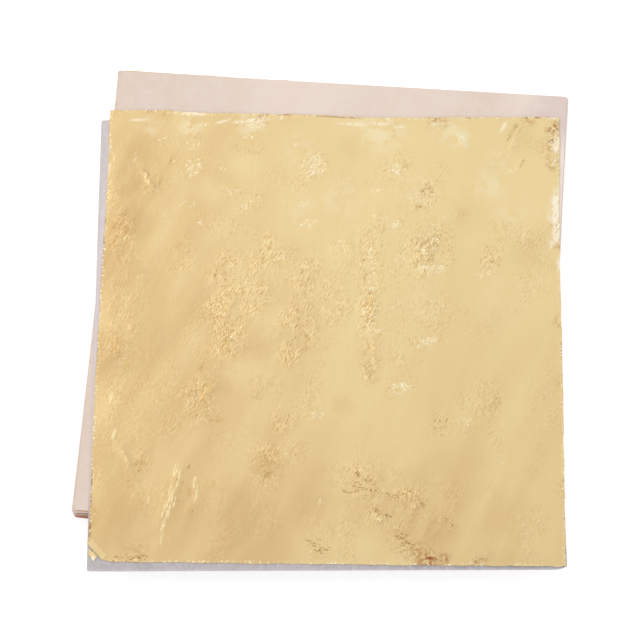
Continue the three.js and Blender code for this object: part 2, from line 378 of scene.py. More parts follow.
def makePileTissueMaterial(finish):
    # tissue inside the pile: its cut edges are painted copper, as the leaves' edges look, and
    # darker low in the pile as painted shade, pale higher up
    material, tree = newMaterial("stackedTissuePaper")
    coordinates = addNode(tree, "ShaderNodeTexCoord").outputs["Object"]
    rim = addNode(tree, "ShaderNodeAttribute", attribute_name="rim").outputs["Fac"]
    height = addNode(tree, "ShaderNodeSeparateXYZ", {0: coordinates}).outputs["Z"]
    # stains run long along a sheet's edge and change from one sheet to the next
    layers = addNode(tree, "ShaderNodeMapping", {
        "Vector": coordinates, "Scale": (1, 1, finish["stainRun"] / finish["stainDepth"])})
    stains = addNode(tree, "ShaderNodeTexNoise", {
        "Vector": layers, "Scale": perMetre(finish["stainRun"]), "Detail": 3.0})
    share = addNode(tree, "ShaderNodeMapRange", {
        "Value": stains, "From Min": 0.36, "From Max": 0.64})
    wander = addNode(tree, "ShaderNodeMath", {
        0: stains, 1: finish["stainWander"] * mm, 2: height}, operation="MULTIPLY_ADD")
    middle = finish["stainWander"] / 2
    # painted shade: the rims are darker copper low in the pile and pale higher up
    above = addNode(tree, "ShaderNodeMapRange", {
        "Value": wander, "From Min": (finish["copperFrom"] + middle) * mm,
        "From Max": (finish["copperTo"] + middle) * mm})
    low, high = (layColours(tree, finish, name, [(share, 1.0, name + "Pale")])
                 for name in ("edgeLow", "edgeHigh"))
    edge = addNode(tree, "ShaderNodeMix", {0: above, 6: low, 7: high}, data_type="RGBA")
    colour = addNode(tree, "ShaderNodeMix", {
        0: rim, 6: linearColour(finish["paper"]), 7: edge}, data_type="RGBA")
    finishSurface(tree, colour, finish["paperRoughness"])
    return material


def makePileLeafMaterial(finish):
    # brass leaf pressed in the pile: bright inside, browned along its ragged borders
    material, tree = newMaterial("pressedBrassLeaf")
    coordinates = addNode(tree, "ShaderNodeTexCoord").outputs["Object"]
    rim = addNode(tree, "ShaderNodeAttribute", attribute_name="rim").outputs["Fac"]
    crinkles = addNode(tree, "ShaderNodeTexNoise", {
        "Vector": coordinates, "Scale": perMetre(finish["crinkleSpacing"]), "Detail": 4.0})
    colour = layColours(tree, finish, "leaf", [(rim, crinkles, "leafEdge")])
    finishSurface(tree, colour, finish["leafRoughness"], crinkles, finish["crinkleHeight"],
                  metallic=1.0)
    return material


leafMaterial = makeLeafMaterial(topLeafPlace, leafFinish)
topTissueMaterial = makeTopTissueMaterial(topTissuePlace, tissueFinish)
coverMaterial = makeCoverMaterial(coverFinish)
pileMaterials = {"tissue": makePileTissueMaterial(pileFinish),
                 "leaf": makePileLeafMaterial(pileFinish)}
print("materials are made")

# the sheets in the pile

pileSheet = {
    "borderWidth": 1.6, "borderPoints": 500, "ripple": 3.4, "weldReach": 0.001,
    "leafDeckle": 0.3, "leafCurl": 0.05, "tissueDeckle": 0.05, "tissueCurl": 0.02,
    "tornAcross": 10.5, "tornAlong": 17,
    "rims": 2, "rimFrom": 0.22, "rimPitch": 0.08, "rimThickness": 0.05, "rimSlip": 0.12,
}


def makeSheetTree():
    # one flat sheet from its rules: a filled outline, a ring of border that wanders and curls,
    # and a thickness
    tree = bpy.data.node_groups.new("stackedSheet", "GeometryNodeTree")
    kinds = {"Border Points": "Int", "Rims": "Int", "Place": "Vector", "Turn": "Vector",
             "Material": "Material"}
    for name in ["Width", "Length", "Thickness", "Border Width", "Border Points", "Deckle", "Curl",
                 "Ripple Scale", "Torn Across", "Torn Along", "Place", "Turn", "Seed",
                 "Hollow Left", "Hollow Right", "Rims", "Rim From", "Rim Pitch",
                 "Rim Thickness", "Rim Slip", "Material"]:
        tree.interface.new_socket(name, in_out="INPUT",
                                  socket_type="NodeSocket" + kinds.get(name, "Float"))
    tree.interface.new_socket("Geometry", in_out="OUTPUT", socket_type="NodeSocketGeometry")
    given = addNode(tree, "NodeGroupInput").outputs
    position = addNode(tree, "GeometryNodeInputPosition")
    onSheet = addNode(tree, "ShaderNodeSeparateXYZ", {0: position}).outputs

    # the sums that the sheet needs: a name, what is done, and two names or numbers
    sums = {socket.name: socket for socket in given}
    sums.update(x=onSheet["X"], y=onSheet["Y"])
    for name, operation, a, b in [
        ("twoBorders", "MULTIPLY", "Border Width", 2.0),
        ("innerWidth", "SUBTRACT", "Width", "twoBorders"),
        ("innerLength", "SUBTRACT", "Length", "twoBorders"),
        ("halfInnerWidth", "MULTIPLY", "innerWidth", 0.5),
        ("halfInnerLength", "MULTIPLY", "innerLength", 0.5),
        ("tearX", "SUBTRACT", "halfInnerWidth", "Torn Across"),
        ("tearY", "SUBTRACT", "halfInnerLength", "Torn Along"),
        ("pastTearX", "GREATER_THAN", "x", "tearX"),
        ("pastTearY", "GREATER_THAN", "y", "tearY"),
        ("torn", "MULTIPLY", "pastTearX", "pastTearY"),
        ("growWidth", "DIVIDE", "Width", "innerWidth"),
        ("growLength", "DIVIDE", "Length", "innerLength"),
        ("sideways", "MULTIPLY", "Deckle", 2.0),
        ("upward", "MULTIPLY", "Curl", 2.0),
        ("onRight", "GREATER_THAN", "x", 0.0),
        ("onLeft", "SUBTRACT", 1.0, "onRight"),
        ("rightHollow", "MULTIPLY", "onRight", "Hollow Right"),
        ("leftHollow", "MULTIPLY", "onLeft", "Hollow Left"),
        ("hollow", "ADD", "rightHollow", "leftHollow"),
        ("halfWidth", "MULTIPLY", "Width", 0.5),
        ("halfLength", "MULTIPLY", "Length", 0.5),
        ("lengthwise", "DIVIDE", "y", "halfLength"),
        ("squared", "MULTIPLY", "lengthwise", "lengthwise"),
        ("bowed", "SUBTRACT", 1.0, "squared"),
        ("hollowHere", "MULTIPLY", "hollow", "bowed"),
        ("hollowShare", "DIVIDE", "hollowHere", "halfWidth"),
        ("narrowed", "SUBTRACT", 1.0, "hollowShare"),
        ("slipBack", "MULTIPLY", "Rim Slip", -1.0),
    ]:
        sums[name] = addNode(tree, "ShaderNodeMath", {0: sums.get(a, a), 1: sums.get(b, b)},
                             operation=operation)

    outline = addNode(tree, "GeometryNodeCurvePrimitiveQuadrilateral", {
        "Width": sums["innerWidth"], "Height": sums["innerLength"]})
    stepped = addNode(tree, "GeometryNodeResampleCurve", {
        "Curve": outline, "Count": given["Border Points"]}, mode="COUNT")
    # a torn corner is the outline without its points there
    tornOff = addNode(tree, "GeometryNodeDeleteGeometry", {
        "Geometry": stepped, "Selection": sums["torn"]}, domain="POINT")
    again = addNode(tree, "GeometryNodeResampleCurve", {
        "Curve": tornOff, "Count": given["Border Points"]}, mode="COUNT")
    filled = addNode(tree, "GeometryNodeFillCurve", {"Curve": again}, mode="NGONS")

    # the border ring wanders in and out, and up a little
    ring = addNode(tree, "GeometryNodeExtrudeMesh", {"Mesh": filled, "Offset Scale": 0.0},
                   mode="EDGES")
    grown = addNode(tree, "ShaderNodeCombineXYZ", {
        "X": sums["growWidth"], "Y": sums["growLength"], "Z": 1.0})
    spread = addNode(tree, "ShaderNodeVectorMath", {0: position, 1: grown}, operation="MULTIPLY")
    noise = addNode(tree, "ShaderNodeTexNoise", {
        "Vector": spread, "W": given["Seed"], "Scale": given["Ripple Scale"], "Detail": 3.0},
        noise_dimensions="4D")
    centred = addNode(tree, "ShaderNodeVectorMath", {
        0: noise.outputs["Color"], 1: (0.5, 0.5, 0.3)}, operation="SUBTRACT")
    strength = addNode(tree, "ShaderNodeCombineXYZ", {
        "X": sums["sideways"], "Y": sums["sideways"], "Z": sums["upward"]})
    ragged = addNode(tree, "ShaderNodeVectorMath", {0: centred, 1: strength},
                     operation="MULTIPLY")
    border = addNode(tree, "ShaderNodeVectorMath", {0: spread, 1: ragged}, operation="ADD")
    bordered = addNode(tree, "GeometryNodeSetPosition", {
        "Geometry": ring, "Selection": ring.outputs["Top"], "Position": border})

    # its left and right sides are hollow, deepest at their middles
    drawn = addNode(tree, "ShaderNodeCombineXYZ", {"X": sums["narrowed"], "Y": 1.0, "Z": 1.0})
    hollowed = addNode(tree, "ShaderNodeVectorMath", {0: position, 1: drawn},
                       operation="MULTIPLY")
    hollow = addNode(tree, "GeometryNodeSetPosition", {"Geometry": bordered, "Position": hollowed})
    marked = addNode(tree, "GeometryNodeStoreNamedAttribute", {
        "Geometry": hollow, "Name": "rim", "Value": ring.outputs["Top"]},
        data_type="FLOAT", domain="POINT")

    def thicken(flat, thickness):
        # raised by its thickness, and closed underneath
        raised = addNode(tree, "GeometryNodeExtrudeMesh", {
            "Mesh": flat, "Offset": (0, 0, 1), "Offset Scale": thickness, "Individual": False},
            mode="FACES")
        under = addNode(tree, "GeometryNodeFlipFaces", {"Mesh": flat})
        joined = addNode(tree, "GeometryNodeJoinGeometry", {0: [under, raised]})
        return addNode(tree, "GeometryNodeMergeByDistance", {
            "Geometry": joined, "Distance": pileSheet["weldReach"] * mm})

    # the real sheets that this one stands for show as thin rims over its border, each a little off
    strip = addNode(tree, "GeometryNodeSeparateGeometry", {
        "Geometry": marked, "Selection": ring.outputs["Side"]}, domain="FACE")
    lowest, upwards = (addNode(tree, "ShaderNodeCombineXYZ", {"Z": given[name]})
                       for name in ("Rim From", "Rim Pitch"))
    places = addNode(tree, "GeometryNodeMeshLine", {
        "Count": given["Rims"], "Start Location": lowest, "Offset": upwards})
    least, most = (addNode(tree, "ShaderNodeCombineXYZ", {"X": aside, "Y": aside})
                   for aside in (sums["slipBack"], given["Rim Slip"]))
    seed = addNode(tree, "FunctionNodeFloatToInt", {0: given["Seed"]})
    slip = addNode(tree, "FunctionNodeRandomValue", {0: least, 1: most, "Seed": seed},
                   data_type="FLOAT_VECTOR")
    slipped = addNode(tree, "GeometryNodeSetPosition", {"Geometry": places, "Offset": slip})
    rims = addNode(tree, "GeometryNodeInstanceOnPoints", {
        "Points": slipped, "Instance": thicken(strip, given["Rim Thickness"])})
    whole = addNode(tree, "GeometryNodeJoinGeometry", {
        0: [rims, thicken(marked, given["Thickness"])]})
    placed = addNode(tree, "GeometryNodeTransform", {
        "Geometry": whole, "Translation": given["Place"], "Rotation": given["Turn"]})
    realised = addNode(tree, "GeometryNodeRealizeInstances", {"Geometry": placed})
    finished = addNode(tree, "GeometryNodeSetMaterial", {
        "Geometry": realised, "Material": given["Material"]})
    addNode(tree, "NodeGroupOutput", {"Geometry": finished})
    return tree


def makeStackedSheet(name, tree, values):
    host = addObject(name + "Maker", bpy.data.meshes.new(name + "Maker"))
    modifier = host.modifiers.new("sheet", "NODES")
    modifier.node_group = tree
    for item in tree.interface.items_tree:
        if item.in_out == "INPUT":
            modifier[item.identifier] = values[item.name]
    evaluated = host.evaluated_get(bpy.context.evaluated_depsgraph_get())
    mesh = bpy.data.meshes.new_from_object(evaluated)
    bpy.data.objects.remove(host)
    mesh.name = name
    return addObject(name, mesh)


def layInPile(number, kind, width, length, above, firstDraw):
    moves = 0 if (number, kind) == (1, "tissue") else 1   # the lowest tissue lies flat and square
    torn = (number, kind) == (leafCount, "leaf")   # the others' tear lies outside the sheet
    slipX, slipY, twist = (moves * wobble(number, firstDraw + k) for k in range(3))
    lengths = {
        "Width": width, "Length": length, "Thickness": packLay[kind + "Thickness"],
        "Border Width": pileSheet["borderWidth"], "Deckle": pileSheet[kind + "Deckle"],
        "Curl": pileSheet[kind + "Curl"] * moves,
        "Hollow Left": packLay["hollowLeft"], "Hollow Right": packLay["hollowRight"],
        "Torn Across": pileSheet["tornAcross"] if torn else -width,
        "Torn Along": pileSheet["tornAlong"] if torn else -length,
        "Rim From": pileSheet["rimFrom"], "Rim Pitch": pileSheet["rimPitch"],
        "Rim Thickness": pileSheet["rimThickness"], "Rim Slip": pileSheet["rimSlip"],
    }
    sheet = makeStackedSheet(f"pile{kind.capitalize()}{number:02d}", sheetTree, {
        **{name: value * mm for name, value in lengths.items()},
        "Border Points": pileSheet["borderPoints"], "Ripple Scale": perMetre(pileSheet["ripple"]),
        "Seed": number + (0.5 if kind == "leaf" else 0.0),
        "Rims": pileSheet["rims"] if kind == "tissue" and number < leafCount else 0,
        "Place": (packLay["slip"] * slipX * mm, packLay["slip"] * slipY * mm,
                  ((number - 1) * leafPitch + above) * mm),
        "Turn": (0, 0, math.radians(packLay["twist"] * twist)),
        "Material": pileMaterials[kind],
    })
    body = "pile_base" if number == 1 else f"pile_pair_{number:02d}"
    takePlace(sheet, body, f"pile_{kind}_{number:02d}")


sheetTree = makeSheetTree()
for number in range(1, leafCount + 1):
    layInPile(number, "tissue", tissueSide, tissueSide, 0, 1)
    layInPile(number, "leaf", packLay["leafWidth"], packLay["leafLength"],
              tissueThickness + packLay["clingGap"], 4)
print("the pile's", leafCount, "tissues and leaves are laid")

# fine sheets on top


def gridPoints(width, length, cell):
    columns, rows = round(width / cell), round(length / cell)
    u, v = np.meshgrid(np.linspace(-0.5, 0.5, columns + 1), np.linspace(-0.5, 0.5, rows + 1))
    index = np.arange((columns + 1) * (rows + 1)).reshape(rows + 1, columns + 1)
    quads = np.stack([index[:-1, :-1], index[:-1, 1:], index[1:, 1:], index[1:, :-1]],
                     axis=-1).reshape(-1, 4)
    return (u * width).ravel(), (v * length).ravel(), quads


def closedSheet(middle, quads, thickness):
    # two layers half a thickness off the middle, and a wall round their border
    count = len(middle)
    upper, lower = middle.copy(), middle.copy()
    upper[:, 2] += thickness / 2
    lower[:, 2] -= thickness / 2
    edges = np.concatenate([quads[:, [k, (k + 1) % 4]] for k in range(4)])
    key = np.sort(edges, axis=1)
    _, first, uses = np.unique(key, axis=0, return_index=True, return_counts=True)
    rim = edges[first[uses == 1]]
    wall = np.stack([rim[:, 1], rim[:, 0], rim[:, 0] + count, rim[:, 1] + count], axis=-1)
    return np.concatenate([upper, lower]), np.concatenate([quads, quads[:, ::-1] + count, wall])


def laySheet(place, x, y, lift, quads, thickness):
    # a closed sheet on the pack from its own millimetres, drooping where it hangs past the pile
    packX, packY = toPack(place, x, y)
    middle = place["middle"] + droopAt(packX, packY)[0] + lift
    return closedSheet(np.stack([packX, packY, middle], axis=-1), quads, thickness)


def makePiece(name, points, faces, material, attributes):
    mesh = bpy.data.meshes.new(name)
    mesh.from_pydata((points * mm).tolist(), [], faces.tolist())
    mesh.materials.append(material)
    for attributeName, values in attributes.items():
        data = mesh.attributes.new(attributeName, "FLOAT", "POINT")
        data.data.foreach_set("value", values.astype(np.float32))
    mesh.polygons.foreach_set("use_smooth", [True] * len(mesh.polygons))
    mesh.update()
    mesh.set_sharp_from_angle(angle=math.radians(50))
    return addObject(name, mesh)


def roundCorners(x, y, width, length, radius):
    # corner points move from a square onto the circle inside it
    cornerX, cornerY = width / 2 - radius, length / 2 - radius
    overX, overY = np.abs(x) - cornerX, np.abs(y) - cornerY
    inside = (overX > 0) & (overY > 0)
    reach = np.where(inside, np.maximum(overX, overY), 1)
    spread = np.where(inside, np.hypot(overX, overY), 1)
    shrink = np.where(inside, reach / np.maximum(spread, 1e-9), 1)
    newX = np.where(inside, np.sign(x) * (cornerX + overX * shrink), x)
    newY = np.where(inside, np.sign(y) * (cornerY + overY * shrink), y)
    return newX, newY


coverSheet = {
    "cell": 0.8, "frontShort": 0.65, "stainDepth": 1.4, "stainSpacing": 3,
    "tearFrom": (60.0, 69.6), "tearTo": (55.7, 63.1), "tearWander": 0.25, "tearBlur": 0.3,
    # pale places across it: middle x, reach, strength
    "palePlaces": [(-14, 34, 0.45), (20, 26, 0.22), (55, 10, 0.3)],
}


def makeCover():
    x, y, quads = gridPoints(tissueSide, tissueSide, coverSheet["cell"])
    x, y = roundCorners(x, y, tissueSide, tissueSide, packLay["cornerRadius"])
    half = tissueSide / 2
    depth = np.where(x > 0, packLay["hollowRight"], packLay["hollowLeft"])
    x = x * (1 - depth / half * (1 - (y / half) ** 2))
    # it stops a little short in front, where the leaf under it shows
    y = np.where(y < 0, y * (1 - coverSheet["frontShort"] / half), y)
    x, y = toPack({"x": 0, "y": 0, "turn": packLay["coverTurn"]}, x, y)
    z = np.full_like(x, leafCount * leafPitch + tissueThickness / 2)
    points, faces = closedSheet(np.stack([x, y, z], axis=-1), quads, tissueThickness)
    x, y = points[:, 0], points[:, 1]
    # the leaf below is lost at the back right, along a slanting tear
    (fromX, fromY), (toX, toY) = coverSheet["tearFrom"], coverSheet["tearTo"]
    beyondTear = (((x - fromX) * (fromY - toY) - (y - fromY) * (fromX - toX))
                  / math.hypot(toX - fromX, toY - fromY))
    beyondTear += coverSheet["tearWander"] * roughNoise(x, y, 6, 31)
    blur = coverSheet["tearBlur"]
    patchy = smoothStep(-0.1, 0.5, roughNoise(x, y, coverSheet["stainSpacing"], 37))
    # painted light: it is painted paler along its right border, lifting the shade the leaf above
    # casts there, and paler in places across
    pale = smoothStep(63, 67, x) * (1 - smoothStep(50, 62, y))
    for middle, reach, strength in coverSheet["palePlaces"]:
        pale = np.maximum(pale, strength * (1 - smoothStep(0, reach, np.abs(x - middle))))
    return makePiece("pileCoverTissue", points, faces, coverMaterial, {
        "leafBelow": 1 - smoothStep(-blur, blur, beyondTear) * smoothStep(40, 48, x),
        "stained": (1 - smoothStep(0, coverSheet["stainDepth"], x + half)) * patchy, "pale": pale})


takePlace(makeCover(), "pile_cover", f"pile_tissue_{leafCount + 1:02d}")


topTissueSheet = {
    "cell": 1.4, "frontReach": 0.22, "clipAcross": 3.4, "clipAlong": 0.9,
    "frontShade": 0.5, "rightShade": 0.3, "shadeClouds": 0.06, "sideShade": 0.18,
}


def makeTopTissue(place):
    width, length = place["width"], place["length"]
    x, y, quads = gridPoints(width, length, topTissueSheet["cell"])
    x, y = roundCorners(x, y, width, length, packLay["cornerRadius"])
    # its front right corner is worn off on a low slant
    across = np.clip((x - width / 2) / topTissueSheet["clipAcross"] + 1, 0, 1)
    front = -length / 2 - topTissueSheet["frontReach"] + topTissueSheet["clipAlong"] * across ** 2
    y = np.where(y < 0, length / 2 + (y - length / 2) * (front - length / 2) / -length, y)
    points, faces = laySheet(place, x, y, 0, quads, tissueThickness)
    # painted shade: the front hangs free and is painted grey, more so to the right; the left side
    # only a little
    packX, packY = points[:, 0], points[:, 1]
    inFront = smoothStep(-14, 7, -tissueSide / 2 - packY)
    shadeDepth = (topTissueSheet["frontShade"]
                + topTissueSheet["rightShade"] * smoothStep(-10, 70, packX)
                + topTissueSheet["shadeClouds"] * softNoise(packX, packY, 9, 101))
    beyond = smoothStep(0, 1.5, droopAt(packX, packY)[1])
    overhang = np.maximum(inFront * shadeDepth, topTissueSheet["sideShade"] * beyond)
    return makePiece("topTissueSheet", points, faces, topTissueMaterial, {"overhang": overhang})


takePlace(makeTopTissue(topTissuePlace), "loose_tissue", "top_tissue")
print("the cover and the top tissue are laid")

# the top leaf

topLeafShape = {
    "cell": 0.64, "wave": 0.12, "waveSpacing": 24, "crinkle": 0.022, "crinkleSpacing": 5,
    "patchWrinkle": 0.04, "wrinkleRun": 62, "wrinkleStretch": 2.6, "wrinkleSpacing": 2.4,
    "scattered": 0.36, "scatterSpacing": 13, "breakSpacing": 5, "foldWander": 0.25,
    "deckle": 0.3, "deckleSpacing": 4.5, "deckleReach": 4, "shiftReach": 12,
    "borderCurl": 0.16, "borderReach": 1.1, "curlSpacing": 2.4, "curlPlaces": 11,
    "cornerCut": 4.7, "flap": 1.9, "flapHeight": 0.26, "flapSteps": 16, "foldRadius": 0.11,
    "scrapWidth": 2.6, "scrapLift": 0.16, "scrapFromLeft": 1.75, "scrapBelow": 0.06,
    # the warmth toward the left and front is painted shade
    "warmth": 0.14, "leafShadeLeft": 0.68, "leafShadeFront": 0.42, "warmthClouds": 0.12,
}

# how far each border stands out past a straight one, at places along it
borderShifts = {
    "back": [(-69, 0.4), (-52, 0.7), (-40, 0.05), (-5, -0.15), (8, -0.75), (30, -0.3), (60, 0.3)],
    "front": [(-69, 0.45), (-20, 0.2), (20, 0), (50, -0.3), (69, -0.45)],
    "left": [(-69, -0.5), (-55, -0.3), (-30, 0.1), (-10, 0.2), (20, -0.1), (45, -0.3), (69, 0.15)],
    "right": [(-69, 0.1), (-20, 0.35), (30, 0.2), (50, 0.5), (69, 0.8)],
}

